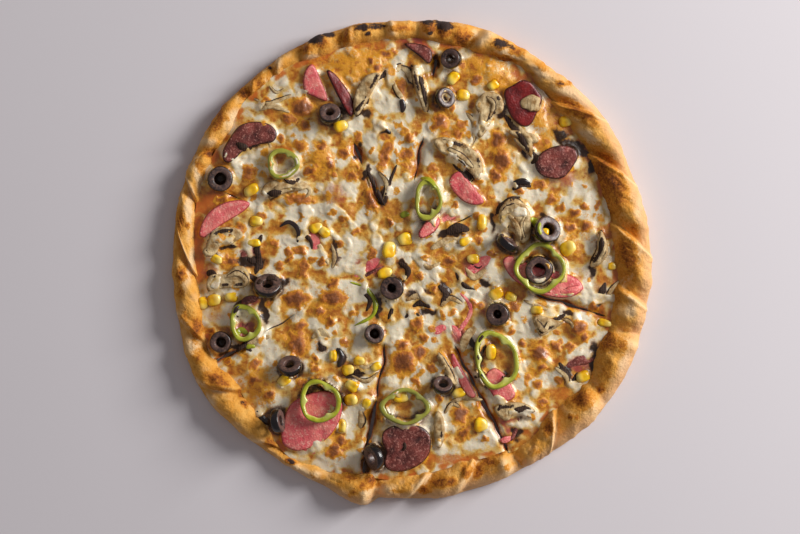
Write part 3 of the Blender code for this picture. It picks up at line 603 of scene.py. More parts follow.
def spunRing(section, steps):
    bm = bmesh.new()
    corners = [bm.verts.new((x, 0, z)) for x, z in section]
    edges = [bm.edges.new((corners[i - 1], corners[i])) for i in range(len(corners))]
    bmesh.ops.spin(bm, geom=corners + edges, cent=(0, 0, 0), axis=(0, 0, 1), dvec=(0, 0, 0),
                   angle=math.tau, steps=steps, use_merge=True, use_duplicate=False)
    bmesh.ops.recalc_face_normals(bm, faces=bm.faces)
    return bm


def ringWidth(node, pose):
    bm = cornersOf(node)
    reach = max((pose.inverted() @ vert.co).to_2d().length for vert in bm.verts)
    bm.free()
    return reach


def buildOlive(number, finish):
    node = f"olive_{number}"
    pose = ringPose(node)
    radius, half = ringWidth(node, pose), oliveMade["high"] / 2
    hole = oliveMade["hole"] + 0.06 * math.sin(number * 2.3)
    section = roundedSection((
        (hole, -0.78), (hole + 0.06, -0.96), (0.66, -1.0), (0.87, -0.97), (0.96, -0.70), (1.0, 0.0),
        (0.96, 0.70), (0.87, 0.96), (0.66, 0.95), (hole + 0.06, 0.90), (hole, 0.70), (hole - 0.02, 0)), 40)
    bm = spunRing(section, oliveMade["steps"])
    skin = bm.verts.layers.float.new("skin")
    for vert in bm.verts:
        reach = vert.co.to_2d().length
        vert[skin] = float(smooth(0.89, 0.95, reach))
        angle = math.atan2(vert.co.y, vert.co.x)
        lump = noise.noise((math.cos(angle) * 0.9 + number * 3.7, math.sin(angle) * 0.9, 0.2))
        dent = noise.noise((vert.co.x * 3 + number, vert.co.y * 3, vert.co.z * 2))
        face = 1 - vert[skin]
        vert.co.x *= radius * (1 + oliveMade["wobble"] * lump)
        vert.co.y *= radius * (1 + oliveMade["wobble"] * lump)
        vert.co.x += 0.05 * radius * face * math.cos(number * 2.1) * (1 - reach)
        vert.co.z *= half * (1 + 0.10 * dent * face)
    bmesh.ops.transform(bm, matrix=pose, verts=bm.verts)
    keepShape(bm.faces)
    stoneHoles.append((pose.translation.x, pose.translation.y, radius * hole))
    return addPiece(f"oliveRing_{number}", bm, finish, (node,))


olive = oliveFinish()
for number in range(1, oliveMade["count"] + 1):
    buildOlive(number, olive)
print("olives cut")

# Pepper rings: picture width, height, turn and lobes repeat the part's

pepperMade = {
    "rings": ((32, 38, 10, 3), (41, 44, 30, 3), (50, 36, 0, 4), (44, 60, 13, 3), (50, 50, 25, 4),
              (28, 42, 0, 3), (33, 31, 0, 3)),
    "dull": (0.15, 0.0, 0.75, 0.25, 0.2, 0.45, 0.6),
    "wall": 3.0 * mm, "high": 4.0 * mm, "lobe": 0.05, "steps": 120, "rib": 1.5 * mm}


def pepperFinish():
    # Green pepper softened in the oven: waxy bright skin outside, paler watery flesh on the cut
    # faces, and almost white ribs inside
    made, tree, shader, coords = newFinish("baked green pepper", 0.3, Specular_IOR_Level=0.5, Coat_Weight=0.3,
                                           Coat_Roughness=0.2)
    skin = addNode(tree, "Attribute", attribute_name="skin").outputs["Fac"]
    pith = addNode(tree, "Attribute", attribute_name="pith").outputs["Fac"]
    dull = addNode(tree, "Attribute", attribute_name="dull").outputs["Fac"]
    cells = addNode(tree, "TexNoise", {"Vector": coords, "Scale": 1 / 0.0011, "Detail": 3.0}).outputs["Fac"]
    soft = addNode(tree, "TexNoise", {"Vector": coords, "Scale": 1 / 0.006, "Detail": 3.0}).outputs["Fac"]
    patch = addNode(tree, "MapRange", {"Value": soft, "From Min": 0.34, "From Max": 0.66}).outputs[0]
    flesh = addNode(tree, "Mix", {0: patch, 6: hexColour("#9C9E12"), 7: hexColour("#C0C236")},
                    data_type="RGBA").outputs[2]
    flesh = addNode(tree, "Mix", {0: pith, 6: flesh, 7: hexColour("#D2D27C")}, data_type="RGBA").outputs[2]
    rind = addNode(tree, "Mix", {0: patch, 6: hexColour("#72780A"), 7: hexColour("#9CA414")},
                   data_type="RGBA").outputs[2]
    colour = addNode(tree, "Mix", {0: skin, 6: flesh, 7: rind}, data_type="RGBA").outputs[2]
    colour = addNode(tree, "Mix", {0: dull, 6: colour, 7: hexColour("#8E8A3E")}, data_type="RGBA").outputs[2]
    tree.links.new(colour, shader.inputs["Base Color"])
    bump = addNode(tree, "Bump", {"Height": cells, "Distance": 0.0004, "Strength": 0.4}).outputs[0]
    tree.links.new(bump, shader.inputs["Normal"])
    return made


def buildPepper(number, finish):
    node = f"pepper_ring_{number}"
    pose = ringPose(node)
    width, height, turn, lobes = pepperMade["rings"][number - 1]
    wide, high = width * perPixel / 2, height * perPixel / 2
    inside = 1 - pepperMade["wall"] / ((wide + high) / 2)
    half = pepperMade["high"] / 2
    middle = (1 + inside) / 2
    section = roundedSection((
        (inside, -0.6), (inside + 0.04, -0.9), (middle, -1.0), (0.965, -0.9), (0.99, -0.5), (1.0, 0.0),
        (0.99, 0.5), (0.965, 0.88), (middle, 0.98), (inside + 0.04, 0.82), (inside, 0.5), (inside, 0)), 30)
    bm = spunRing(section, pepperMade["steps"])
    skin, pith, dull = floatLayers(bm, "skin", "pith", "dull")
    spin = Matrix.Rotation(math.radians(turn), 4, "Z")
    for vert in bm.verts:
        reach = vert.co.to_2d().length
        angle = math.atan2(vert.co.y, vert.co.x)
        lobed = math.cos(lobes * angle + math.radians(turn * lobes))
        inner = float(smooth(1.0, inside, reach))
        uneven = noise.noise((math.cos(angle) * 2.2 + number * 3.1, math.sin(angle) * 2.2, 4.0))
        rib = inner * (max(0.0, -lobed) ** 5 * pepperMade["rib"] + 0.9 * mm * uneven) / wide
        lump = 0.05 * noise.noise((math.cos(angle) * 1.5 + number * 5.3, math.sin(angle) * 1.5, 0.7))
        scale = 1 + pepperMade["lobe"] * lobed + lump - rib / reach
        vert[skin] = float(smooth(0.94, 0.985, reach))
        lining = 0.55 * float(smooth(inside + 0.06, inside, reach))
        vert[pith] = min(1.0, max(0.0, -lobed) ** 4 * inner + lining)
        vert[dull] = pepperMade["dull"][number - 1]
        wave = noise.noise((vert.co.x * 1.3 + number, vert.co.y * 1.3, 0.0))
        vert.co.x *= wide * scale
        vert.co.y *= high * scale
        vert.co.z = vert.co.z * half * (1 + 0.15 * wave) + 0.5 * mm * wave
    bmesh.ops.transform(bm, matrix=pose @ spin, verts=bm.verts)
    keepShape(bm.faces)
    return addPiece(f"pepperRing_{number}", bm, finish, (node,))


pepper = pepperFinish()
for number in range(1, len(pepperMade["rings"]) + 1):
    buildPepper(number, pepper)
print("peppers cut")

# Ham, salami and mushroom slices, from the part's outlines

sliceMade = {
    "cell": 0.8 * mm, "edge": 2.2 * mm, "spacing": 0.5 * mm,
    "ham": {"count": 8, "thick": 1.6 * mm, "curl": 0.7 * mm, "ridge": 0.15 * mm},
    "salami": {"count": 6, "thick": 2.0 * mm, "curl": 0.8 * mm, "ridge": 0.2 * mm, "deepRed": (1, 4)},
    "mushroom": {"count": 14, "thick": 2.6 * mm, "curl": 1.0 * mm, "ridge": 0.5 * mm}}


def meatFinish(name, low, high, fat, fatShare, rim, grain):
    # Cured or cooked meat, sliced thin: lean with specks of fat, and an edge the oven darkened
    made, tree, shader, coords = newFinish(name, 0.42, Specular_IOR_Level=0.45, Coat_Weight=0.25,
                                           Coat_Roughness=0.3)
    soft = addNode(tree, "TexNoise", {"Vector": coords, "Scale": 1 / 0.007, "Detail": 4.0}).outputs["Fac"]
    specks = addNode(tree, "TexNoise", {"Vector": coords, "Scale": 1 / grain, "Detail": 4.0,
                                        "Roughness": 0.7}).outputs["Fac"]
    fine = addNode(tree, "TexNoise", {"Vector": coords, "Scale": 1 / 0.001, "Detail": 3.0}).outputs["Fac"]
    share = addNode(tree, "MapRange", {"Value": soft, "From Min": 0.33, "From Max": 0.67}).outputs[0]
    colour = addNode(tree, "Mix", {0: share, 6: hexColour(low), 7: hexColour(high)},
                     data_type="RGBA").outputs[2]
    spot = addNode(tree, "MapRange", {"Value": specks, "From Min": 0.52, "From Max": 0.64,
                                      "To Max": fatShare}, interpolation_type="SMOOTHSTEP").outputs[0]
    colour = addNode(tree, "Mix", {0: spot, 6: colour, 7: hexColour(fat)}, data_type="RGBA").outputs[2]
    edge = addNode(tree, "Attribute", attribute_name="edge").outputs["Fac"]
    worn = addNode(tree, "Math", {0: fine, 1: 0.5, 2: edge}, operation="MULTIPLY_ADD").outputs[0]
    darker = addNode(tree, "MapRange", {"Value": worn, "From Min": 0.7, "From Max": 0.3}).outputs[0]
    colour = addNode(tree, "Mix", {0: darker, 6: colour, 7: hexColour(rim)}, data_type="RGBA").outputs[2]
    tree.links.new(colour, shader.inputs["Base Color"])
    bump = addNode(tree, "Bump", {"Height": fine, "Distance": 0.0006, "Strength": 0.8}).outputs[0]
    tree.links.new(bump, shader.inputs["Normal"])
    return made


def mushroomFinish():
    # Button mushroom sliced and dried by the oven: pale cream flesh, tan and brown at the edges,
    # and dark gills in fine ribs along one side
    made, tree, shader, coords = newFinish("baked mushroom", 0.66, Specular_IOR_Level=0.3)
    edge = addNode(tree, "Attribute", attribute_name="edge").outputs["Fac"]
    gill = addNode(tree, "Attribute", attribute_name="gill").outputs["Fac"]
    soft = addNode(tree, "TexNoise", {"Vector": coords, "Scale": 1 / 0.0042, "Detail": 5.0}).outputs["Fac"]
    fine = addNode(tree, "TexNoise", {"Vector": coords, "Scale": 1 / 0.001, "Detail": 4.0}).outputs["Fac"]
    share = addNode(tree, "MapRange", {"Value": soft, "From Min": 0.34, "From Max": 0.66}).outputs[0]
    colour = addNode(tree, "Mix", {0: share, 6: hexColour("#96703E"), 7: hexColour("#DCC496")},
                     data_type="RGBA").outputs[2]
    worn = addNode(tree, "Math", {0: fine, 1: 0.9, 2: edge}, operation="MULTIPLY_ADD").outputs[0]
    brown = addNode(tree, "MapRange", {"Value": worn, "From Min": 0.8, "From Max": 0.35,
                                       "To Max": 0.5}).outputs[0]
    colour = addNode(tree, "Mix", {0: brown, 6: colour, 7: hexColour("#8A6238")}, data_type="RGBA").outputs[2]
    ribs = addNode(tree, "TexWave", {"Vector": coords, "Scale": 1 / 0.0036, "Distortion": 2.0,
                                     "Detail": 2.0}).outputs["Fac"]
    lamella = addNode(tree, "Mix", {0: ribs, 6: hexColour("#140D0B"), 7: hexColour("#4A3020")},
                      data_type="RGBA").outputs[2]
    dark = addNode(tree, "Math", {0: fine, 1: 0.9, 2: gill}, operation="MULTIPLY_ADD").outputs[0]
    share = addNode(tree, "MapRange", {"Value": dark, "From Min": 0.7, "From Max": 1.05}).outputs[0]
    colour = addNode(tree, "Mix", {0: share, 6: colour, 7: lamella}, data_type="RGBA").outputs[2]
    tree.links.new(colour, shader.inputs["Base Color"])
    bump = addNode(tree, "Bump", {"Height": fine, "Distance": 0.0006, "Strength": 0.8}).outputs[0]
    tree.links.new(bump, shader.inputs["Normal"])
    return made


def thickened(bm, thick, outline, relief, gillSide=0.0):
    # turns a trimmed sheet into a slice with rounded edges, and notes how near its edge each point is
    edge, gill = floatLayers(bm, "edge", "gill")
    spread = np.linalg.eigh(np.cov((outline - outline.mean(0)).T))[1][:, 0]
    for vert in bm.verts:
        place = np.array(vert.co.to_2d())
        away = np.hypot(*(outline - place).T).min()
        side = float((place - outline.mean(0)) @ spread) * gillSide
        vert[edge] = min(1.0, away / sliceMade["edge"])
        band = float(smooth(0.8 * mm, 1.8 * mm, away) * smooth(0.4 * mm, 2.0 * mm, side))
        broken = smooth(-0.12, 0.12, noise.noise((place[0] / (5 * mm), place[1] / (5 * mm), len(outline))))
        vert[gill] = band * float(smooth(4.2 * mm, 2.6 * mm, away) * broken) if gillSide else 0.0
    before = list(bm.verts)
    lifted = bmesh.ops.extrude_face_region(bm, geom=bm.faces[:])["geom"]
    top = [item for item in lifted if isinstance(item, bmesh.types.BMVert)]
    for verts, way in ((before, -1), (top, 1)):
        for vert in verts:
            rounded = 0.35 + 0.65 * float(smooth(0.0, 0.5, vert[edge]))
            vert.co.z = way * thick / 2 * rounded + relief(vert.co.x, vert.co.y, way)
    bmesh.ops.recalc_face_normals(bm, faces=bm.faces)


def buildSlice(kind, number, finish, gillSide=0.0):
    made = sliceMade[kind]
    node = f"{kind}_{number}"
    pose, corners = slicePose(node)
    outline = roundOutline(corners, sliceMade["spacing"])
    bm = trimmedGrid(outline, sliceMade["cell"])
    seed = number * 7.3 + len(kind)

    def relief(x, y, way):
        wave = noise.noise((x / (8 * mm), y / (8 * mm), seed)) * made["curl"]
        fine = noise.noise((x / (2.4 * mm), y / (2.4 * mm), seed + 40)) * made["ridge"]
        return wave + fine * (0.5 + 0.5 * way)

    thickened(bm, made["thick"], outline, relief, gillSide)
    bmesh.ops.transform(bm, matrix=pose, verts=bm.verts)
    keepShape(bm.faces)
    return addPiece(f"{kind}Slice_{number}", bm, finish, (node,))


ham = meatFinish("cooked ham", "#DA525A", "#F48C80", "#FACDB6", 0.45, "#A42E36", 0.0020)
salami = meatFinish("baked dry sausage", "#3A0E0C", "#8E4238", "#CC8C7C", 0.6, "#240A06", 0.0016)
redPepper = meatFinish("baked red pepper", "#560A0C", "#84120F", "#B42A22", 0.3, "#30060A", 0.004)
mushroom = mushroomFinish()
for number in range(1, sliceMade["ham"]["count"] + 1):
    buildSlice("ham", number, ham)
for number in range(1, sliceMade["salami"]["count"] + 1):
    buildSlice("salami", number, redPepper if number in sliceMade["salami"]["deepRed"] else salami)
for number in range(1, sliceMade["mushroom"]["count"] + 1):
    buildSlice("mushroom", number, mushroom, 1.0 if number % 2 else -1.0)
print("slices cut")

# The cheese as height and colour maps, then one fine sheet for each slice

cheeseMade = {
    "meet": (403, 250),
    "ends": ((585, 157), (436, 60), (318, 66), (205, 187), (212, 364), (363, 474), (507, 448), (603, 316)),
    "base": 5.3 * mm, "thick": 3.2 * mm, "edgeThick": 1.8 * mm, "edgeBand": 10 * mm,
    "toRim": -1.6 * mm, "wave": 0.9 * mm, "waveSpan": 14 * mm, "tip": 0.02 * mm,
    "mapCell": 0.6 * mm, "quickMapCell": 0.9 * mm, "cells": (178, 180), "quickCells": (110, 110),
    "speckles": 330, "speckleReach": 208, "seed": 77,
    "gapes": (
        ((56, 78, 1.0),), ((74, 112, 2.4), (176, 196, 3.0)), ((52, 80, 3.2), (98, 116, 5.0)),
        ((170, 186, 1.2),), ((128, 158, 1.2), (174, 222, 3.6)), ((98, 150, 2.2), (156, 232, 4.4)),
        ((112, 160, 2.6), (154, 226, 4.0)), ((138, 212, 1.8), (166, 186, 4.2))),
    "filled": (445, 98),
    # painted shadows: soft dark patches in the crevices beside the rim and the toppings; picture point,
    # width, height, turn, strength
    "dark": (
        (571, 143, 50, 14, -35, 1.5), (595, 160, 11, 34, -15, 1.5), (594, 360, 12, 36, 0, 1.4),
        (264, 312, 9, 28, 10, 1.4), (250, 262, 34, 14, 0, 1.4), (366, 462, 8, 26, 0, 1.6),
        (358, 151, 6, 18, -20, 1.6), (230, 350, 26, 8, 25, 1.5), (570, 313, 12, 6, -10, 1.5),
        (322, 346, 12, 14, 0, 1.2), (343, 360, 8, 18, 0, 1.3), (474, 345, 9, 28, 20, 1.4),
        (524, 414, 26, 9, 5, 1.4), (452, 232, 34, 10, 10, 1.4), (505, 208, 22, 9, -30, 1.3),
        (545, 214, 14, 7, 0, 1.2), (470, 172, 8, 26, -50, 1.3), (412, 76, 9, 26, 10, 1.3),
        (362, 108, 9, 22, 35, 1.4), (250, 147, 34, 8, -10, 1.4), (384, 130, 18, 8, 30, 1.3),
        (418, 294, 30, 10, 0, 1.2), (402, 264, 12, 9, 0, 1.2), (596, 262, 8, 34, -20, 1.4),
        (567, 373, 12, 18, 0, 1.3), (259, 416, 20, 9, 30, 1.4), (518, 432, 12, 20, 0, 1.3),
        (384, 196, 10, 26, -25, 1.4), (366, 172, 5, 18, -20, 1.4), (270, 196, 24, 7, 10, 1.3),
        (215, 246, 10, 20, 0, 1.2), (228, 247, 22, 6, 0, 1.3), (355, 375, 34, 8, 10, 1.2),
        (446, 290, 10, 20, 30, 1.2), (428, 312, 26, 8, 0, 1.2), (484, 284, 14, 8, 0, 1.2),
        (378, 306, 9, 28, 0, 1.3), (278, 282, 26, 8, 0, 1.3), (492, 220, 7, 26, 10, 1.3),
        (335, 250, 6, 28, 10, 1.2), (502, 112, 9, 16, -40, 1.3), (526, 150, 9, 26, -30, 1.3),
        (480, 108, 7, 20, 0, 1.2), (418, 48, 34, 8, -25, 1.1), (437, 60, 7, 16, 0, 1.2),
        (448, 372, 12, 8, 0, 1.2), (505, 378, 8, 12, 0, 1.2), (602, 300, 9, 22, -40, 1.3)),
    "mounds": (
        (350, 68, 30, 2.4), (490, 70, 24, 2.8), (262, 385, 27, 2.2), (320, 157, 22, 2.2),
        (300, 108, 16, 0.7), (332, 290, 15, 1.2), (406, 357, 15, 1.6), (502, 155, 18, 1.4),
        (441, 122, 12, 1.0), (538, 357, 17, 1.3), (335, 195, 17, 1.4), (300, 345, 16, 1.2),
        (545, 118, 16, 1.6), (460, 420, 16, 1.4), (580, 330, 15, 1.0), (300, 299, 16, 1.0),
        (230, 170, 14, 1.0), (372, 200, 12, 1.0), (580, 205, 20, 1.0), (440, 285, 15, 0.9)),
    "browned": (
        (301, 107, 20, 17), (305, 126, 10, 9), (286, 119, 9, 8), (299, 146, 12, 10), (343, 153, 11, 10),
        (358, 138, 8, 12), (352, 177, 10, 9), (372, 198, 13, 18), (385, 155, 10, 30, -15), (300, 199, 26, 9),
        (248, 172, 11, 15), (240, 230, 9, 16), (274, 244, 9, 8), (280, 266, 8, 7), (289, 252, 7, 6),
        (289, 259, 7, 6), (296, 299, 22, 12), (303, 268, 9, 18), (300, 250, 14, 8), (342, 219, 8, 7),
        (339, 244, 8, 7), (372, 254, 7, 12), (333, 283, 9, 8), (332, 298, 20, 14), (320, 311, 9, 7),
        (329, 322, 9, 8), (301, 325, 9, 8), (210, 331, 11, 6), (298, 345, 17, 18), (315, 359, 9, 8),
        (314, 369, 8, 7), (317, 382, 9, 8), (303, 385, 11, 12), (257, 362, 8, 7), (228, 361, 8, 7),
        (345, 342, 9, 8), (402, 88, 9, 16), (440, 122, 13, 14), (462, 125, 9, 9), (459, 135, 8, 7),
        (410, 138, 9, 8), (407, 154, 13, 11), (443, 147, 9, 8), (464, 154, 8, 8), (432, 168, 9, 8),
        (497, 140, 12, 18), (502, 160, 13, 20), (495, 176, 10, 12), (552, 198, 9, 12), (561, 209, 9, 8),
        (584, 206, 8, 8), (575, 213, 8, 7), (540, 184, 15, 9), (570, 228, 9, 8), (586, 226, 8, 9),
        (419, 276, 9, 8), (433, 288, 8, 8), (449, 261, 14, 9), (479, 241, 8, 8), (492, 254, 8, 7),
        (474, 304, 8, 7), (481, 306, 7, 7), (515, 307, 11, 10), (418, 325, 12, 13), (403, 344, 10, 9),
        (403, 363, 22, 20), (421, 352, 14, 13), (423, 338, 9, 8), (431, 368, 8, 8), (416, 381, 8, 8),
        (540, 353, 16, 13), (541, 368, 9, 8), (538, 384, 8, 8), (542, 403, 9, 7), (580, 328, 13, 11),
        (585, 338, 8, 8), (555, 346, 8, 8), (570, 348, 9, 8), (593, 309, 9, 8), (465, 435, 10, 9),
        (460, 414, 11, 15), (479, 404, 8, 8), (511, 332, 7, 7), (333, 452, 13, 12), (341, 441, 8, 8),
        (371, 61, 4, 4), (378, 66, 8, 6), (386, 54, 9, 6), (395, 50, 7, 5), (265, 100, 7, 6),
        (280, 138, 6, 6),
        (322, 145, 7, 7), (330, 165, 9, 8), (310, 171, 10, 8), (262, 215, 7, 6), (232, 262, 9, 8),
        (322, 262, 7, 7), (355, 232, 7, 7), (391, 222, 7, 7), (425, 258, 7, 6), (455, 205, 7, 7),
        (452, 108, 7, 6), (476, 80, 9, 8), (520, 190, 7, 7), (566, 140, 7, 6), (598, 205, 6, 8),
        (560, 380, 8, 7), (522, 344, 6, 6), (486, 440, 7, 6), (440, 400, 7, 7), (388, 402, 7, 7),
        (296, 420, 6, 5), (254, 380, 10, 8), (270, 395, 9, 7), (221, 200, 12, 8), (242, 350, 7, 7)),
    "golden": (
        (318, 160, 36, 36, 0, 0.75), (229, 259, 22, 19, 0, 0.8), (352, 68, 70, 50, 20, 0.85),
        (490, 70, 52, 40, -30, 0.75), (258, 386, 40, 44, 40, 0.75), (548, 120, 40, 32, -40, 0.85),
        (578, 230, 44, 34, 0, 0.45), (461, 418, 18, 28, 0, 0.7), (335, 447, 24, 30, 0, 0.6),
        (300, 299, 36, 34, 0, 0.55), (406, 357, 34, 36, 0, 0.6), (502, 155, 28, 56, 0, 0.55),
        (441, 122, 32, 26, 0, 0.5), (538, 357, 34, 42, 0, 0.5), (300, 345, 30, 32, 0, 0.5),
        (300, 110, 34, 34, 0, 0.5), (372, 200, 24, 30, 0, 0.4), (332, 300, 34, 28, 0, 0.5),
        (449, 262, 24, 18, 0, 0.4), (582, 332, 26, 26, 0, 0.4)),
    "sauce": (
        (215, 201, 28, 24, 0, 0.95), (199, 250, 12, 72, 0, 0.9), (201, 208, 18, 14, 0, 1.0),
        (521, 71, 20, 20, 0, 0.8), (214, 312, 20, 30, 0, 0.45), (234, 120, 26, 18, 0, 0.5),
        (575, 150, 40, 26, 0, 0.4), (600, 300, 18, 60, 0, 0.5), (596, 365, 14, 26, 0, 0.7),
        (560, 392, 30, 24, 0, 0.5), (530, 430, 40, 20, 0, 0.5), (450, 460, 60, 12, 0, 0.6),
        (300, 458, 40, 16, 0, 0.4), (245, 405, 20, 26, 0, 0.5), (222, 375, 14, 20, 0, 0.6),
        (312, 62, 40, 12, 0, 0.5), (395, 45, 60, 10, 0, 0.6), (460, 56, 30, 12, 0, 0.6),
        (214, 150, 12, 20, 0, 0.6), (606, 235, 14, 50, 0, 0.5), (210, 276, 16, 14, 0, 0.6),
        (560, 122, 48, 28, -50, 0.6), (486, 72, 44, 36, -30, 0.4), (352, 62, 60, 26, 10, 0.35)),
    "meat": (
        (368, 267, 30, 18, 0, 0.8), (475, 266, 26, 26, 0, 0.7), (440, 330, 14, 14, 0, 0.55),
        (459, 335, 16, 20, 0, 0.9), (449, 217, 18, 11, 0, 0.8), (572, 291, 26, 12, 0, 0.6),
        (578, 274, 26, 20, 0, 0.35), (335, 193, 28, 28, 0, 0.5), (581, 364, 30, 16, 0, 0.8),
        (250, 252, 18, 9, 0, 0.8), (508, 424, 22, 24, 0, 0.75), (249, 302, 18, 10, 0, 0.7),
        (428, 263, 14, 9, 0, 0.4), (295, 378, 8, 8, 0, 0.7), (527, 112, 30, 24, 0, 0.35),
        (560, 178, 40, 24, 0, 0.6), (300, 448, 30, 10, 0, 0.35), (316, 238, 20, 26, 0, 0.35),
        (246, 330, 20, 26, 0, 1.0), (552, 283, 16, 12, 0, 1.0), (530, 284, 12, 10, 0, 0.9),
        (498, 380, 22, 16, 0, 0.9), (484, 306, 12, 30, -20, 0.5), (400, 262, 16, 12, 0, 0.4),
        (418, 46, 40, 16, -25, 0.7), (210, 272, 20, 14, 0, 0.5), (515, 262, 8, 40, 20, 0.6)),
    "milk": (
        (246, 163, 22, 22), (355, 245, 22, 16), (335, 270, 18, 14), (345, 285, 16, 12), (284, 240, 18, 14),
        (284, 290, 16, 14), (418, 228, 14, 16), (425, 318, 20, 14), (535, 195, 24, 18), (578, 188, 26, 20),
        (343, 463, 20, 12), (333, 470, 14, 8), (475, 445, 24, 12), (540, 290, 14, 10), (380, 175, 18, 30),
        (330, 215, 26, 14), (300, 222, 18, 16), (400, 130, 18, 26), (425, 150, 18, 26), (560, 230, 26, 12),
        (515, 340, 24, 16), (555, 300, 26, 12), (330, 330, 22, 16), (360, 345, 18, 22), (430, 340, 20, 22),
        (275, 135, 20, 16), (310, 130, 16, 16), (345, 110, 10, 24), (370, 140, 16, 20), (472, 130, 16, 30),
        (530, 170, 18, 22), (592, 200, 14, 26), (480, 330, 14, 30), (520, 380, 14, 24), (430, 400, 14, 14),
        (350, 430, 12, 22), (270, 350, 20, 14), (270, 320, 22, 18), (230, 290, 16, 12), (350, 260, 24, 20),
        (385, 100, 12, 20), (455, 150, 12, 14), (510, 180, 12, 18), (270, 375, 16, 14, 0, 0.8)),
    "over": (
        (283, 172, 28, 14, -10), (268, 168, 10, 18), (298, 160, 8, 16), (256, 154, 34, 12, 18),
        (236, 164, 14, 12), (440, 186, 8, 26), (455, 160, 26, 8, -35), (320, 446, 26, 10, 30),
        (290, 201, 30, 9), (222, 240, 26, 10), (440, 370, 10, 16, -60), (505, 226, 12, 18),
        (477, 122, 8, 26), (376, 96, 12, 16), (445, 98, 9, 11), (540, 282, 14, 10),
        (560, 266, 28, 12), (400, 424, 40, 8), (392, 392, 20, 9), (572, 298, 24, 8), (236, 292, 34, 8),
        (484, 178, 10, 16), (300, 96, 14, 14), (487, 402, 20, 8), (520, 425, 26, 8)),
    "bare": (
        (218, 214, 56, 40, 20), (524, 102, 50, 56), (308, 424, 56, 56), (406, 446, 46, 52),
        (556, 160, 62, 46),
        (318, 84, 26, 46, 20), (338, 92, 22, 60, 20), (244, 138, 50, 34, 20), (465, 190, 26, 34)),
}
cheeseTraits = ("toast", "milk", "sauce", "meat", "shadow")
mapCell = cheeseMade["mapCell"]
mapAxis = np.arange(-0.150, 0.1502, mapCell)
mapX, mapY = np.meshgrid(mapAxis, mapAxis)


def sample(field, x, y):
    # a map's value between its cells
    gx = np.clip((x - mapAxis[0]) / mapCell, 0, len(mapAxis) - 1.001)
    gy = np.clip((y - mapAxis[0]) / mapCell, 0, len(mapAxis) - 1.001)
    ix, iy = np.floor(gx).astype(int), np.floor(gy).astype(int)
    fx, fy = gx - ix, gy - iy
    return ((field[iy, ix] * (1 - fx) + field[iy, ix + 1] * fx) * (1 - fy)
            + (field[iy + 1, ix] * (1 - fx) + field[iy + 1, ix + 1] * fx) * fy)


def blurred(field, radius):
    step = np.fft.fftfreq(len(mapAxis), mapCell)
    far = step[:, None] ** 2 + step[None, :] ** 2
    return np.fft.ifft2(np.fft.fft2(field) * np.exp(-2 * (math.pi * radius) ** 2 * far)).real


def toppingMaps(shapes):
    # the lowest and highest surface of these toppings over each map cell
    under = np.full(mapX.shape, np.nan)
    top = np.full(mapX.shape, np.nan)
    for tree, corners in shapes:
        low = np.floor((corners.min(0) - mapAxis[0]) / mapCell).astype(int)
        high = np.ceil((corners.max(0) - mapAxis[0]) / mapCell).astype(int)
        for row in range(low[1], high[1] + 1):
            for column in range(low[0], high[0] + 1):
                x, y = mapX[row, column], mapY[row, column]
                upper = tree.ray_cast((x, y, 0.05), (0, 0, -1))[0]
                if upper is None:
                    continue
                lower = tree.ray_cast((x, y, 0.0), (0, 0, 1))[0]
                top[row, column] = np.fmax(top[row, column], upper.z)
                under[row, column] = np.fmin(under[row, column], lower.z)
    return under, top


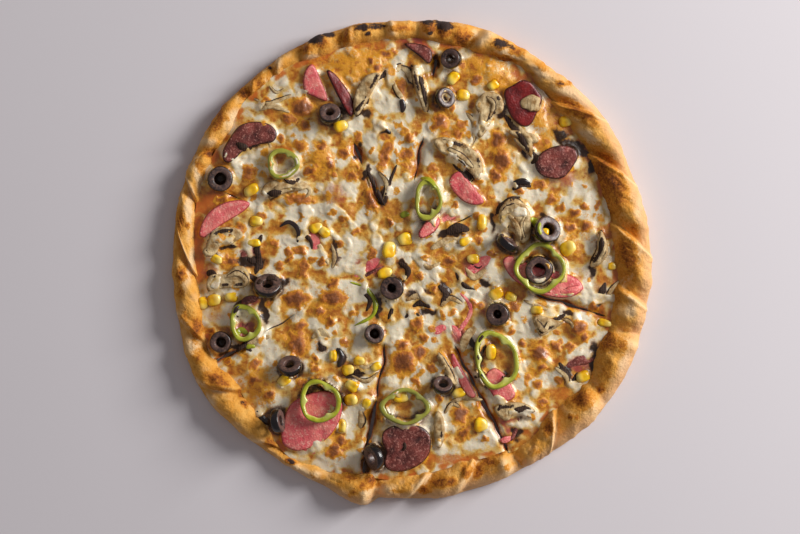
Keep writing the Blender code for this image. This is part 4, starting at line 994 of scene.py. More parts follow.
def meltedSheet():
    # the cheese before anything presses into it: its height and what colours it
    warpX, warpY = (axis + 2.2 * mm * noiseField(mapX, mapY, 5 * mm, layer)
                    + 1.3 * mm * noiseField(mapX, mapY, 1.9 * mm, layer + 2)
                    for axis, layer in ((mapX, 30.0), (mapY, 31.0)))
    u, v = toPicture(warpX, warpY)
    angle, radius = fromHub(mapX, mapY)
    toEdge = innerAt(angle) - radius
    fade = np.clip(toEdge / cheeseMade["edgeBand"], 0, 1)
    thick = cheeseMade["edgeThick"] + (cheeseMade["thick"] - cheeseMade["edgeThick"]) * fade
    wave = cheeseMade["wave"] * noiseField(mapX, mapY, cheeseMade["waveSpan"])
    straightU, straightV = toPicture(mapX, mapY)
    for midU, midV, reach, rise in cheeseMade["mounds"]:
        away = np.hypot(straightU - midU, straightV - midV) / reach
        wave = wave + rise * mm * np.exp(-2 * away ** 2)
    height = cheeseMade["base"] + thick + fade * wave

    # melted clots of cheese with soft valleys between them
    clot = smooth(0.75, 0.15, clots(warpX, warpY, 8.0 * mm, 5))
    fineClot = smooth(0.7, 0.15, clots(warpX + 0.7 * mm, warpY, 3.1 * mm, 6))
    broad = noiseField(mapX, mapY, 13 * mm, 50.0) + 0.5 * noiseField(warpX, warpY, 6 * mm, 51.0)

    browned = paint(cheeseMade["browned"], u, v, 0.6)
    draw = np.random.default_rng(cheeseMade["seed"])
    extra = []
    for _ in range(cheeseMade["speckles"]):
        turn, out = draw.random() * math.tau, math.sqrt(draw.random())
        spotU = picture["hub"][0] + cheeseMade["speckleReach"] * out * math.cos(turn)
        spotV = picture["hub"][1] + cheeseMade["speckleReach"] * out * math.sin(turn)
        wide = 3.0 + 4.5 * draw.random()
        extra.append((spotU, spotV, wide, wide * (0.7 + 0.6 * draw.random()), 180 * draw.random(),
                      0.35 + 0.6 * draw.random()))
    speckled = paint(extra, u, v, 0.5)
    golden = paint(cheeseMade["golden"], u, v, 0.5)
    sauce = paint(cheeseMade["sauce"], u, v, 0.5)
    patchy = smooth(-0.35, 0.25, noiseField(mapX, mapY, 10 * mm, 71.0))
    sauce = np.maximum(sauce, 0.8 * smooth(4 * mm, 0.5 * mm, toEdge) * patchy)
    meat = paint(cheeseMade["meat"], u, v, 0.45)
    milk = smooth(-0.22, 0.40, broad + 0.25 * (clot - 0.5))
    milk = np.maximum(milk, paint(cheeseMade["milk"], u, v, 0.6))
    milk = milk * (1 - 0.85 * sauce) * (1 - 0.6 * meat) * (1 - 0.35 * golden)
    toast = np.maximum(browned, 0.8 * speckled * smooth(0.85, 0.3, sauce))
    toast = np.clip(toast + 0.45 * golden * (0.5 + 0.5 * fineClot), 0, 1.2)

    flow = noiseField(warpX, warpY, 9 * mm, 55.0) + 0.35 * noiseField(mapX, mapY, 4.2 * mm, 56.0)
    height += fade * mm * (0.9 * flow + 0.30 * clot * milk)
    height += mm * (0.70 * browned + 0.30 * speckled) * fade
    height -= mm * 0.6 * sauce * fade
    height += mm * 0.13 * noiseField(mapX, mapY, 1.6 * mm, 60.0) * (0.15 + 1.6 * toast)
    return {"height": height, "toast": toast, "milk": milk, "sauce": sauce, "meat": meat, "clot": clot,
            "warp": (u, v)}


def meetToppings(sheet, under, top):
    # cheese rises to meet what lies on it, and runs over some of it; its shadow layer is painted shade
    height, milk, sauce, meat = (sheet[name].copy() for name in ("height", "milk", "sauce", "meat"))
    u, v = sheet["warp"]
    lift = np.nan_to_num(under + 0.25 * mm - height, nan=0.0)
    lift = np.where(lift > 3.2 * mm, 0.0, np.clip(lift, 0, 2.6 * mm))
    lift = np.maximum(lift, 1.25 * blurred(lift, 1.2 * mm))
    height += lift
    covered = (~np.isnan(top)).astype(float)
    height += 0.7 * mm * blurred(covered, 1.5 * mm) * (1 - covered)
    height = np.where(covered > 0, np.fmin(height, under + 0.7 * mm), height)
    tops = np.where(np.isnan(top), height, np.maximum(top, height))
    over = paint(cheeseMade["over"], u, v, 0.6)
    low = smooth(3.4 * mm, 2.2 * mm, tops - height) * smooth(0.08, 0.42, noiseField(mapX, mapY, 9 * mm, 90.0))
    over = np.maximum(over, 0.9 * low * (1 - paint(cheeseMade["bare"], u, v, 0.3)))
    ragged = noiseField(mapX, mapY, 3.5 * mm, 91.0)
    film = blurred(tops, 0.8 * mm) + mm * (1.15 * over - 0.55 + 0.55 * ragged + 0.15 * sheet["clot"])
    height = np.where(over > 0.05, np.maximum(height, film), height)
    milk = np.maximum(milk, 0.75 * over + 0.2 * ragged * (over > 0.1))
    sauce = sauce * (1 - over)
    meat = meat * (1 - 0.7 * over)
    holes = np.zeros(height.shape)
    for x, y, reach in stoneHoles:
        if math.dist(toPicture(x, y), cheeseMade["filled"]) > 6:
            holes = np.maximum(holes, smooth(1.3, 0.8, np.hypot(mapX - x, mapY - y) / reach))
    height = height - 1.8 * mm * holes
    surface = np.maximum(height, tops)
    # painted shade: darker where the cheese lies below what is round it, in the olive holes, and at the
    # listed dark patches
    shadow = np.clip((blurred(surface, 2.6 * mm) - height) / (3.0 * mm), 0, 1) + 2.0 * holes
    shadow = np.maximum(shadow, paint(cheeseMade["dark"], u, v, 0.6) * (1 - 0.8 * over))
    return {"height": height, "surface": surface, "toast": sheet["toast"], "milk": milk, "sauce": sauce,
            "meat": meat, "shadow": shadow}


sheet = meltedSheet()
under, top = toppingMaps(toppingShapes)
print("cheese melted", sheet["height"].shape)


def cheeseFinish():
    # Stretched-curd cheese melted and blistered in a hot oven: ivory and softly shiny where thick,
    # oily amber where thin, and orange to dark brown on the blisters, which are dry and granular.
    # Its crevices and the olive holes get painted shade, brown to near black.
    made, tree, shader, coords = newFinish("melted cheese", 0.36, Specular_IOR_Level=0.5, Coat_Roughness=0.16,
                                           Subsurface_Weight=0.2, Subsurface_Scale=2.5 * mm,
                                           Subsurface_Radius=(1.0, 0.7, 0.4))
    share = {name: addNode(tree, "Attribute", attribute_name=name).outputs["Fac"] for name in cheeseTraits}
    soft = addNode(tree, "TexNoise", {"Vector": coords, "Scale": 1 / 0.004, "Detail": 4.0,
                                      "Roughness": 0.6}).outputs["Fac"]
    fine = addNode(tree, "TexNoise", {"Vector": coords, "Scale": 1 / 0.0011, "Detail": 4.0,
                                      "Roughness": 0.65}).outputs["Fac"]
    softOff = addNode(tree, "Math", {0: soft, 1: 0.5}, operation="SUBTRACT").outputs[0]
    fineOff = addNode(tree, "Math", {0: fine, 1: 0.5}, operation="SUBTRACT").outputs[0]
    oily = addNode(tree, "MapRange", {"Value": soft, "From Min": 0.36, "From Max": 0.64}).outputs[0]
    thin = addNode(tree, "Mix", {0: oily, 6: hexColour("#A85C10"), 7: hexColour("#D8962A")},
                   data_type="RGBA").outputs[2]
    thickness = addNode(tree, "Math", {0: softOff, 1: 0.9, 2: share["milk"]},
                        operation="MULTIPLY_ADD").outputs[0]
    thickness = addNode(tree, "Math", {0: fineOff, 1: 0.5, 2: thickness}, operation="MULTIPLY_ADD").outputs[0]
    cream = addNode(tree, "MapRange", {"Value": thickness, "From Min": 0.0, "From Max": 0.4},
                    interpolation_type="SMOOTHSTEP").outputs[0]
    colour = addNode(tree, "Mix", {0: cream, 6: thin, 7: hexColour("#DEB662")}, data_type="RGBA").outputs[2]
    white = addNode(tree, "MapRange", {"Value": thickness, "From Min": 0.3, "From Max": 0.85},
                    interpolation_type="SMOOTHSTEP").outputs[0]
    colour = addNode(tree, "Mix", {0: white, 6: colour, 7: hexColour("#E8DBC0")}, data_type="RGBA").outputs[2]
    # the shadow step is painted shade, a warm brown in the crevices beside the toppings
    steps = (("sauce", 0.25, 0.75, "#C4641A", 0.9), ("meat", 0.2, 0.8, "#A64442", 0.88),
             ("shadow", 0.22, 0.9, "#80481A", 0.7))
    for name, low, high, code, most in steps:
        ragged = addNode(tree, "Math", {0: fineOff, 1: 0.8, 2: share[name]},
                         operation="MULTIPLY_ADD").outputs[0]
        amount = addNode(tree, "MapRange", {"Value": ragged, "From Min": low, "From Max": high,
                                            "To Max": most}, interpolation_type="SMOOTHSTEP").outputs[0]
        colour = addNode(tree, "Mix", {0: amount, 6: colour, 7: hexColour(code)}, data_type="RGBA").outputs[2]
    browning = addNode(tree, "Math", {0: fineOff, 1: 0.7, 2: share["toast"]},
                       operation="MULTIPLY_ADD").outputs[0]
    browning = addNode(tree, "Math", {0: softOff, 1: 0.7, 2: browning}, operation="MULTIPLY_ADD").outputs[0]
    for low, high, code in ((0.06, 0.34, "#DE981C"), (0.40, 0.74, "#BC6C0E"), (0.82, 1.15, "#82440A")):
        amount = addNode(tree, "MapRange", {"Value": browning, "From Min": low, "From Max": high},
                         interpolation_type="SMOOTHSTEP").outputs[0]
        colour = addNode(tree, "Mix", {0: amount, 6: colour, 7: hexColour(code)}, data_type="RGBA").outputs[2]
    # painted shadow: near black in the deepest crevices and olive holes
    deep = addNode(tree, "Math", {0: fineOff, 1: 0.8, 2: share["shadow"]},
                   operation="MULTIPLY_ADD").outputs[0]
    amount = addNode(tree, "MapRange", {"Value": deep, "From Min": 0.62, "From Max": 1.1, "To Max": 0.95},
                     interpolation_type="SMOOTHSTEP").outputs[0]
    colour = addNode(tree, "Mix", {0: amount, 6: colour, 7: hexColour("#241006")},
                     data_type="RGBA").outputs[2]
    tree.links.new(colour, shader.inputs["Base Color"])
    rough = addNode(tree, "MapRange", {"Value": browning, "From Min": 0.2, "From Max": 0.9, "To Min": 0.34,
                                       "To Max": 0.55}).outputs[0]
    tree.links.new(rough, shader.inputs["Roughness"])
    coat = addNode(tree, "MapRange", {"Value": deep, "From Min": 0.5, "From Max": 1.0, "To Min": 0.4,
                                      "To Max": 0.04}).outputs[0]
    tree.links.new(coat, shader.inputs["Coat Weight"])
    lumpy = addNode(tree, "Bump", {"Height": soft, "Distance": 0.0006, "Strength": 0.4}).outputs[0]
    crisp = addNode(tree, "MapRange", {"Value": browning, "From Max": 0.8, "To Min": 0.12}).outputs[0]
    grain = addNode(tree, "Math", {0: fine, 1: crisp}, operation="MULTIPLY").outputs[0]
    skin = addNode(tree, "Bump", {"Height": grain, "Distance": 0.0007, "Strength": 0.6,
                                  "Normal": lumpy}).outputs[0]
    tree.links.new(skin, shader.inputs["Normal"])
    return made


def cutDirection(number):
    run = at(*cheeseMade["ends"][number % 8]) - at(*cheeseMade["meet"])
    return math.atan2(run.y, run.x)


def buildCheese(number, finish):
    start = cutDirection(number)
    span = (cutDirection(number + 1) - start) % math.tau
    meet = at(*cheeseMade["meet"])
    rows, perRadian = cheeseMade["cells"]
    bm = bmesh.new()
    bmesh.ops.create_grid(bm, x_segments=rows, y_segments=int(perRadian * span), size=1)
    places = np.array([vert.co for vert in bm.verts])
    along, across = (places[:, 0] + 1) / 2, (places[:, 1] + 1) / 2
    angle = start + span * across
    far = np.full(len(angle), 0.02)
    for _ in range(60):
        x, y = meet.x + far * np.cos(angle), meet.y + far * np.sin(angle)
        around, radius = fromHub(x, y)
        far += (innerAt(around) - cheeseMade["toRim"] - radius)
    arm = cheeseMade["tip"] + (far - cheeseMade["tip"]) * along
    x, y = meet.x + arm * np.cos(angle), meet.y + arm * np.sin(angle)
    # each side draws back from its cut as far as that cut gapes
    edge = np.zeros(len(x))
    for side, inward in ((number, 1), (number + 1, -1)):
        way = cutDirection(side)
        normal = inward * np.array([-math.sin(way), math.cos(way)])
        away = (x - meet.x) * normal[0] + (y - meet.y) * normal[1]
        run = (x - meet.x) * math.cos(way) + (y - meet.y) * math.sin(way)
        gape = np.zeros(len(run))
        for begin, end, wide in cheeseMade["gapes"][side % 8]:
            inside = smooth(begin - 6, begin + 8, run / perPixel) * smooth(end + 6, end - 8, run / perPixel)
            gape = np.maximum(gape, inside * wide * perPixel)
        opened = smooth(0.1 * mm, 1.0 * mm, gape)
        uneven = noiseField(run, run * 0, 8 * mm, (side % 8) + inward * 0.3)
        gape = gape * np.maximum(0.05, 0.95 + 1.6 * uneven)
        wander = 1.5 * mm * noiseField(run, run * 0, 11 * mm, side % 8 + 0.7) * smooth(0, 15 * mm, run)
        shift = (gape / 2 + wander * inward) * np.exp(-np.maximum(away, 0) / (5 * mm))
        x, y = x + shift * normal[0], y + shift * normal[1]
        edge = np.maximum(edge, opened * np.exp(-(np.maximum(away, 0) / (2.2 * mm)) ** 2))
    z = sample(maps["height"], x, y)
    z -= edge * np.minimum(3.0 * mm, 0.75 * (z - cheeseMade["base"]))
    z = np.maximum(z, cheeseMade["base"] + 0.4 * mm)
    layers = dict(zip(cheeseTraits, floatLayers(bm, *cheeseTraits)))
    values = {name: sample(maps[name], x, y) for name in layers}
    values["toast"] = values["toast"] * (1 - 0.4 * edge)
    values["sauce"] = np.maximum(values["sauce"], 0.8 * edge ** 3)
    # painted shade along the cut edges, where the cheese slopes down into the cut
    values["shadow"] = np.maximum(values["shadow"], 0.5 * edge)
    for index, vert in enumerate(bm.verts):
        vert.co = (x[index], y[index], z[index])
        for name, layer in layers.items():
            vert[layer] = values[name][index]
    border = [item for item in bm.edges if item.is_boundary]
    for item in border:
        item.smooth = False  # keeps the sheet's shading level with its neighbour's across a closed cut
    skirt = bmesh.ops.extrude_edge_only(bm, edges=border)["geom"]
    for vert in [item for item in skirt if isinstance(item, bmesh.types.BMVert)]:
        vert.co.z = cheeseMade["base"] - 0.25 * mm
        vert[layers["sauce"]] = 0.8
        vert[layers["toast"]] = 0.0
    bmesh.ops.holes_fill(bm, edges=[item for item in bm.edges if item.is_boundary], sides=0)
    bmesh.ops.recalc_face_normals(bm, faces=bm.faces)
    return addPiece(f"cheeseSlice_{number + 1}", bm, finish, (f"cheese_{number + 1}",))


# Sweetcorn: picture point, length, width and turn of each kernel

cornMade = {
    "kernels": (
        (341, 126, 15, 13, 20), (453, 78, 15, 13, 60), (463, 95, 14, 13, 0), (493, 85, 12, 11, 30),
        (566, 121, 14, 13, 10), (251, 190, 17, 13, 30), (256, 221, 14, 12, 0), (253, 243, 16, 9, 0),
        (216, 259, 13, 10, -20), (203, 303, 13, 13, 80), (214, 300, 14, 14, 10), (231, 297, 14, 12, 0),
        (316, 228, 14, 12, 20), (324, 232, 13, 12, -40), (389, 250, 18, 16, 80), (405, 239, 15, 15, 10),
        (385, 273, 16, 12, 20), (284, 381, 15, 13, 40), (348, 370, 13, 12, 10), (352, 386, 15, 13, -30),
        (351, 400, 14, 13, 0), (366, 404, 12, 10, 60), (342, 426, 9, 16, 0), (333, 356, 8, 14, 0),
        (359, 361, 12, 10, 0), (376, 367, 11, 10, 30), (401, 397, 16, 14, 0), (459, 393, 15, 11, 20),
        (481, 425, 14, 17, 0), (491, 352, 11, 19, 0), (465, 241, 13, 10, 30), (473, 259, 13, 11, 0),
        (482, 222, 10, 20, 0), (496, 294, 16, 14, 40), (511, 297, 13, 11, -20), (537, 310, 13, 10, 0),
        (568, 248, 17, 17, 20), (544, 232, 10, 9, 0), (605, 323, 15, 9, -15), (583, 377, 15, 13, 20),
        (612, 266, 10, 9, 0), (447, 95, 4, 4, 0)),
    "thick": 5.4 * mm, "sunk": 0.42}


def cornFinish():
    # Sweetcorn kernels: a tight glossy yolk-yellow skin, paler where the kernel joined the cob
    made, tree, shader, coords = newFinish("sweetcorn kernel", 0.26, Specular_IOR_Level=0.5, Coat_Weight=0.3,
                                           Coat_Roughness=0.15)
    soft = addNode(tree, "TexNoise", {"Vector": coords, "Scale": 1 / 0.005, "Detail": 2.0}).outputs["Fac"]
    share = addNode(tree, "MapRange", {"Value": soft, "From Min": 0.36, "From Max": 0.64}).outputs[0]
    colour = addNode(tree, "Mix", {0: share, 6: hexColour("#E6A404"), 7: hexColour("#FCCE1C")},
                     data_type="RGBA").outputs[2]
    tip = addNode(tree, "Attribute", attribute_name="tip").outputs["Fac"]
    pale = addNode(tree, "MapRange", {"Value": tip, "From Min": 0.45, "From Max": 0.95}).outputs[0]
    colour = addNode(tree, "Mix", {0: pale, 6: colour, 7: hexColour("#EFD878")}, data_type="RGBA").outputs[2]
    tree.links.new(colour, shader.inputs["Base Color"])
    bump = addNode(tree, "Bump", {"Height": soft, "Distance": 0.0008, "Strength": 0.4}).outputs[0]
    tree.links.new(bump, shader.inputs["Normal"])
    return made


def buildCorn(finish, ground):
    bm = bmesh.new()
    tip = bm.verts.layers.float.new("tip")
    for index, (u, v, long, wide, turn) in enumerate(cornMade["kernels"]):
        verts = bmesh.ops.create_icosphere(bm, subdivisions=3, radius=1)["verts"]
        thick = min(cornMade["thick"], 0.75 * wide * perPixel)
        for vert in verts:
            x, y, z = vert.co
            taper = 1 - 0.22 * (x + 1) / 2
            square = (abs(x) ** 2.9 + abs(y) ** 2.9 + abs(z) ** 2.9) ** (-1 / 2.9)
            x, y, z = x * square, y * square, z * square
            dimple = 0.20 * math.exp(-((x + 0.15) ** 2 + y * y) / 0.12) if z > 0 else 0.0
            wobble = 0.95 + 0.12 * noise.noise((x * 1.1 + index, y * 1.1, z))
            vert[tip] = (x + 1) / 2
            vert.co = (x * wobble, y * taper * wobble, (z - dimple) * wobble)
        place = at(u, v)
        level = float(sample(ground, place.x, place.y))
        size = Matrix.Diagonal((long * perPixel / 2, wide * perPixel / 2, thick / 2, 1))
        tilt = (Matrix.Rotation(0.22 * math.sin(index * 1.9), 4, "X")
                @ Matrix.Rotation(0.2 * math.cos(index * 2.7), 4, "Y"))
        middle = Vector((place.x, place.y, level + thick * (0.5 - cornMade["sunk"])))
        spin = Matrix.Rotation(math.radians(turn + (180 if index % 2 else 0)), 4, "Z")
        bmesh.ops.transform(bm, matrix=Matrix.Translation(middle) @ spin @ tilt @ size, verts=verts)
        keepShape(list(dict.fromkeys(face for vert in verts for face in vert.link_faces)))
    bmesh.ops.recalc_face_normals(bm, faces=bm.faces)
    return addPiece("sweetcorn", bm, finish)


looseCount = len(toppingShapes)
ground = blurred(np.fmax(sheet["height"], top), 1.0 * mm)
buildCorn(cornFinish(), ground)
print("sweetcorn set")

# Narrow strips that lie over the cheese: width in picture pixels, then the points of their line

stripMade = {
    "around": 10, "spacing": 0.7 * mm,
    "high": {"mushroom": 1.5 * mm, "gill": 1.3 * mm, "ham": 0.8 * mm, "salami": 1.0 * mm, "pepper": 1.8 * mm,
             "olive": 2.6 * mm},
    "raised": {"mushroom": 0.35, "gill": 0.3, "ham": 0.2, "salami": 0.25, "pepper": 0.3, "olive": 0.4},
    "mushroom": (
        (6, (262, 174), (265, 160), (270, 147), (266, 140)),
        (5, (253, 98), (266, 103), (278, 100), (292, 94)),
        (5, (258, 110), (272, 106), (290, 112)), (4, (268, 84), (276, 92), (284, 88)),
        (7, (384, 80), (393, 71), (404, 64)), (7, (399, 66), (408, 71), (412, 84)),
        (6, (508, 118), (520, 128), (530, 142), (531, 158)), (6, (500, 207), (513, 200), (528, 207)),
        (6, (508, 214), (518, 230), (517, 247)), (5, (526, 214), (521, 226), (525, 239)),
        (9, (430, 249), (448, 241), (468, 242)), (5, (605, 301), (612, 289), (620, 280)),
        (5, (612, 303), (617, 293), (624, 284)), (7, (438, 352), (446, 366), (456, 385)),
        (8, (462, 353), (466, 338), (477, 326)), (8, (360, 409), (362, 420), (360, 429)),
        (6, (358, 366), (368, 368), (379, 363)), (6, (226, 277), (238, 273), (247, 281), (242, 288)),
        (7, (317, 241), (322, 252), (329, 265)), (5, (331, 243), (335, 256), (332, 269)),
        (6, (405, 301), (418, 296), (433, 300)), (7, (440, 307), (450, 298), (463, 304)),
        (6, (465, 267), (474, 277), (487, 269)), (6, (555, 367), (566, 376), (570, 389)),
        (6, (446, 406), (462, 398), (483, 400)), (5, (444, 414), (452, 404), (461, 408)),
        (7, (311, 339), (321, 332), (331, 341)), (5, (351, 375), (366, 381), (379, 372)),
        (5, (300, 181), (310, 190), (305, 198)), (5, (378, 171), (387, 184), (384, 201)),
        (5, (420, 262), (430, 268), (441, 262)), (6, (404, 101), (396, 90), (392, 78)),
        (6, (246, 345), (258, 340), (271, 336)), (5, (559, 318), (570, 322), (577, 333)),
        (4, (523, 300), (538, 306), (553, 312)), (6, (535, 318), (544, 330), (549, 321)),
        (6, (596, 262), (603, 252), (607, 240)), (5, (486, 96), (494, 104), (490, 118)),
        (16, (520, 104), (531, 103), (543, 106)), (6, (466, 112), (474, 122), (474, 138), (470, 148)),
        (5, (270, 192), (284, 186), (300, 188)), (6, (448, 148), (462, 156), (474, 168))),
    "gill": (
        (5, (205, 252), (208, 241), (212, 232)), (6, (222, 249), (229, 243), (236, 248)),
        (6, (262, 234), (257, 248), (259, 262), (254, 276)), (9, (246, 258), (256, 262), (262, 270)),
        (6, (206, 275), (211, 273), (217, 277)), (7, (265, 199), (273, 194), (283, 192)),
        (8, (236, 143), (248, 149), (262, 146)), (8, (354, 117), (362, 107), (369, 99)),
        (6, (378, 80), (390, 70), (402, 63)), (6, (411, 63), (414, 78), (418, 91)),
        (5, (418, 68), (424, 90), (428, 113)), (9, (447, 155), (461, 167), (475, 183)),
        (8, (504, 114), (517, 131), (529, 151)), (8, (495, 216), (504, 204), (521, 197)),
        (9, (445, 233), (458, 228), (470, 230)), (3, (439, 245), (450, 241), (463, 242)),
        (7, (602, 229), (600, 248), (590, 265)), (7, (475, 329), (483, 344), (476, 361)),
        (8, (511, 415), (523, 410), (537, 412)), (6, (352, 374), (360, 371), (369, 375)),
        (9, (322, 339), (323, 346), (320, 352)), (5, (455, 271), (464, 285), (476, 290)),
        (6, (412, 307), (421, 303), (431, 308)), (5, (559, 362), (564, 370), (571, 379)),
        (4, (404, 442), (405, 447), (402, 451)), (4, (367, 169), (371, 178), (376, 188)),
        (4, (397, 164), (389, 184), (384, 206)), (4, (377, 189), (381, 198), (385, 206)),
        (6, (266, 281), (273, 277), (283, 281)), (6, (246, 272), (256, 280), (266, 283)),
        (5, (385, 300), (392, 308), (388, 320)), (5, (398, 262), (408, 270), (404, 282)),
        (6, (438, 285), (446, 294), (441, 304)), (5, (470, 262), (478, 268), (484, 264)),
        (5, (532, 150), (536, 158), (531, 164)), (6, (512, 190), (522, 184), (532, 187)),
        (5, (438, 376), (444, 368), (450, 372)), (5, (548, 312), (558, 318), (566, 314)),
        (6, (596, 300), (602, 292), (606, 282)), (5, (566, 386), (574, 380), (578, 372)),
        (5, (282, 176), (292, 182), (300, 178)), (4, (300, 232), (310, 240), (312, 250)),
        (5, (405, 318), (412, 312), (420, 316)), (5, (362, 292), (370, 300), (366, 312)),
        (5, (236, 352), (244, 346), (252, 352)), (6, (493, 398), (500, 404), (497, 412))),
    "ham": (
        (12, (353, 277), (366, 268), (382, 257)),
        (5, (459, 292), (469, 303), (470, 314), (463, 326), (455, 336)),
        (7, (439, 222), (449, 217), (460, 211)), (8, (560, 292), (572, 291), (587, 286)),
        (6, (500, 441), (506, 440), (514, 437)), (12, (464, 277), (476, 267), (491, 256)),
        (9, (451, 324), (459, 335), (465, 347)), (8, (434, 334), (440, 329), (447, 327)),
        (8, (310, 232), (316, 242), (314, 254)), (6, (300, 446), (312, 452), (324, 448))),
    "salami": (
        (5, (519, 417), (516, 430), (511, 442)), (3, (356, 282), (370, 273), (386, 265)),
        (7, (238, 305), (248, 300), (259, 298)), (10, (566, 367), (580, 361), (596, 359)),
        (8, (240, 256), (249, 252), (258, 250)), (7, (242, 330), (246, 320), (244, 310))),
    "pepper": (
        (8, (528, 215), (538, 226), (537, 241)), (6, (245, 349), (250, 346), (256, 347)),
        (6, (400, 217), (405, 214), (410, 215)),
        (5, (350, 282), (365, 288), (375, 302), (372, 316), (354, 326)),
        (6, (236, 338), (240, 330), (248, 334)), (5, (420, 178), (430, 180), (437, 190))),
    "olive": (
        (7, (336, 347), (342, 357), (338, 368)), (7, (256, 410), (262, 419), (273, 425)),
        (5, (279, 227), (289, 222), (298, 230), (297, 245)), (7, (376, 123), (384, 127), (391, 134)),
        (6, (401, 97), (403, 106), (402, 113)), (6, (512, 184), (522, 181), (531, 184)),
        (7, (242, 300), (236, 308), (238, 318)), (5, (474, 378), (482, 374), (486, 380)))}


def smoothLine(points, spacing):
    # an even open curve through a strip's points
    points = np.array([at(*point) for point in points])
    padded = np.vstack([2 * points[0] - points[1], points, 2 * points[-1] - points[-2]])
    t = np.linspace(0, 1, 12, endpoint=False)[:, None]
    parts = [curveBetween(*four, t) for four in zip(padded, padded[1:], padded[2:], padded[3:])]
    curve = np.vstack(parts + [points[-1:]])
    run = runAlong(curve)
    return pointsAt(np.linspace(0, run[-1], max(6, int(run[-1] / spacing))), run, curve)


def buildStrips(kind, finish, ground):
    bm = bmesh.new()
    edge, gill, skin = floatLayers(bm, "edge", "gill", "skin")
    around, raised = stripMade["around"], stripMade["raised"][kind]
    for number, (wide, *points) in enumerate(stripMade[kind]):
        line = smoothLine(points, stripMade["spacing"])
        ways = np.gradient(line, axis=0)
        ways /= np.hypot(*ways.T)[:, None]
        steps = len(line)
        verts = bmesh.ops.create_grid(bm, x_segments=steps - 1, y_segments=around, size=1)["verts"]
        high = min(stripMade["high"][kind], 0.62 * wide * perPixel)
        for index, vert in enumerate(verts):
            ring, step = divmod(index, steps)
            turn = ring % around / around * math.tau
            t = step / (steps - 1)
            end = max(0.0, math.sin(math.pi * t)) ** 0.45 if 0 < step < steps - 1 else 0.0
            lump = noise.noise((line[step][0] / (5 * mm), line[step][1] / (5 * mm), number * 1.7))
            rib = 1 + 0.16 * math.sin(step * 2.1 + number) * (kind in ("gill", "mushroom"))
            half = wide * perPixel / 2 * end * (1 + 0.35 * lump)
            side = math.cos(turn) * half
            x, y = line[step][0] - ways[step][1] * side, line[step][1] + ways[step][0] * side
            up = math.sin(turn) * high / 2 * end * rib
            curl = 0.35 * high * abs(math.cos(turn)) * end * (number % 3 - 1)
            vert.co = (x, y, up + curl + high * raised * end + 0.4 * mm * lump)
            vert[edge] = 1 - abs(math.cos(turn)) ** 2
            vert[gill] = 1.0 if kind == "gill" else float(smooth(0.35, 0.9, math.cos(turn))) * (number % 2)
            vert[skin] = 0.8
        places = np.array([vert.co for vert in verts])
        floor = sample(ground, places[:, 0], places[:, 1])
        for vert, level in zip(verts, floor):
            vert.co.z += level
        keepShape(list(dict.fromkeys(face for vert in verts for face in vert.link_faces)))
        bmesh.ops.remove_doubles(bm, verts=verts, dist=0.02 * mm)
    bmesh.ops.recalc_face_normals(bm, faces=bm.faces)
    return addPiece(f"{kind}Strips", bm, finish)


buildStrips("mushroom", mushroom, ground)
buildStrips("gill", mushroom, ground)
for kind, finish in (("ham", ham), ("salami", salami), ("pepper", pepper), ("olive", olive)):
    buildStrips(kind, finish, ground)
print("strips laid")

# The cheese comes last, because it meets all that lies on it
sunkUnder, sunkTop = toppingMaps(toppingShapes[looseCount:])
maps = meetToppings(sheet, np.fmin(under, sunkUnder), np.fmax(top, sunkTop))
cheese = cheeseFinish()
for number in range(8):
    buildCheese(number, cheese)
print("cheese laid on eight slices")

# The floor, light and camera of the picture

studio = {
    "floor": ("#D9D4D9", "#DCD7DC"), "floorHalf": 3.0, "floorBelow": 0.4 * mm,
    "height": 2.2, "cheeseTop": 12 * mm, "frame": (800, 534), "sensor": 36.0,
    "keyPower": 50.5, "keySide": 0.9, "keyPlace": (1.55, 0.70, 0.86), "keyColour": (1.0, 0.985, 0.96),
    "fill": 0.225, "fillColour": (1.0, 0.95, 0.97, 1)}


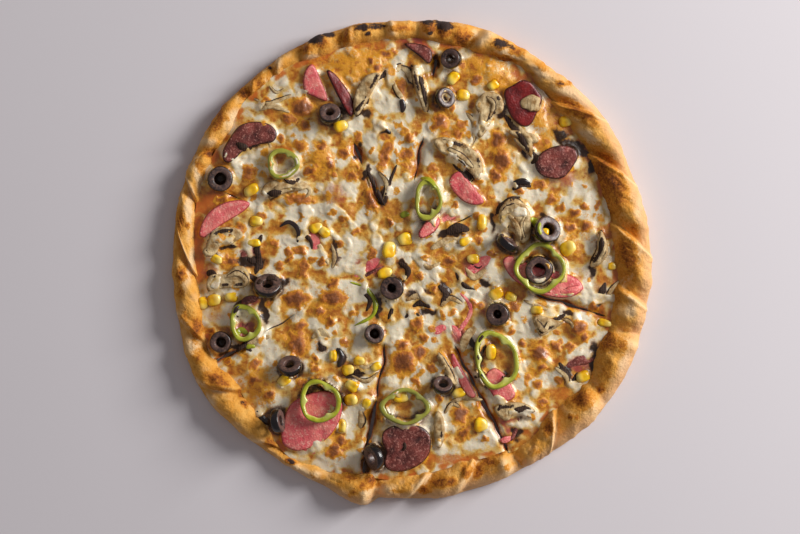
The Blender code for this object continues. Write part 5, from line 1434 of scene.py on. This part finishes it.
def buildStudio():
    bm = bmesh.new()
    bmesh.ops.create_grid(bm, x_segments=2, y_segments=2, size=studio["floorHalf"])
    bmesh.ops.translate(bm, verts=bm.verts, vec=(0, 0, -studio["floorBelow"]))
    # Matt paint in a pale violet grey: it gives the eye a plain ground with a soft shadow on it
    finish, tree, shader, coords = newFinish("pale matt floor", 0.6)
    soft = addNode(tree, "TexNoise", {"Vector": coords, "Scale": 3.0, "Detail": 2.0}).outputs["Fac"]
    first, second = (hexColour(code) for code in studio["floor"])
    colour = addNode(tree, "Mix", {0: soft, 6: first, 7: second}, data_type="RGBA").outputs[2]
    tree.links.new(colour, shader.inputs["Base Color"])
    mesh = bpy.data.meshes.new("floor")
    bm.to_mesh(mesh)
    bm.free()
    mesh.materials.append(finish)
    floor = bpy.data.objects.new("floor", mesh)
    bpy.context.scene.collection.objects.link(floor)

    lamp = bpy.data.lights.new("window light", "AREA")
    lamp.energy, lamp.size = studio["keyPower"], studio["keySide"]
    lamp.color = studio["keyColour"]
    key = bpy.data.objects.new("window light", lamp)
    key.location = studio["keyPlace"]
    key.rotation_euler = (-Vector(studio["keyPlace"])).to_track_quat("-Z", "Y").to_euler()
    bpy.context.scene.collection.objects.link(key)

    world = bpy.data.worlds.new("soft room light")
    world.use_nodes = True
    back = world.node_tree.nodes["Background"]
    back.inputs["Color"].default_value = studio["fillColour"]
    back.inputs["Strength"].default_value = studio["fill"]
    bpy.context.scene.world = world
    bpy.context.scene.view_settings.view_transform = "Standard"

    lens = bpy.data.cameras.new("camera")
    seen = studio["frame"][0] * perPixel
    lens.sensor_width = studio["sensor"]
    lens.lens = lens.sensor_width * (studio["height"] - studio["cheeseTop"]) / seen
    lens.clip_end = 20.0
    camera = bpy.data.objects.new("camera", lens)
    centre = at(studio["frame"][0] / 2, studio["frame"][1] / 2)
    camera.location = (centre.x, centre.y, studio["height"])
    bpy.context.scene.collection.objects.link(camera)
    bpy.context.scene.camera = camera


buildStudio()
print("studio lit")
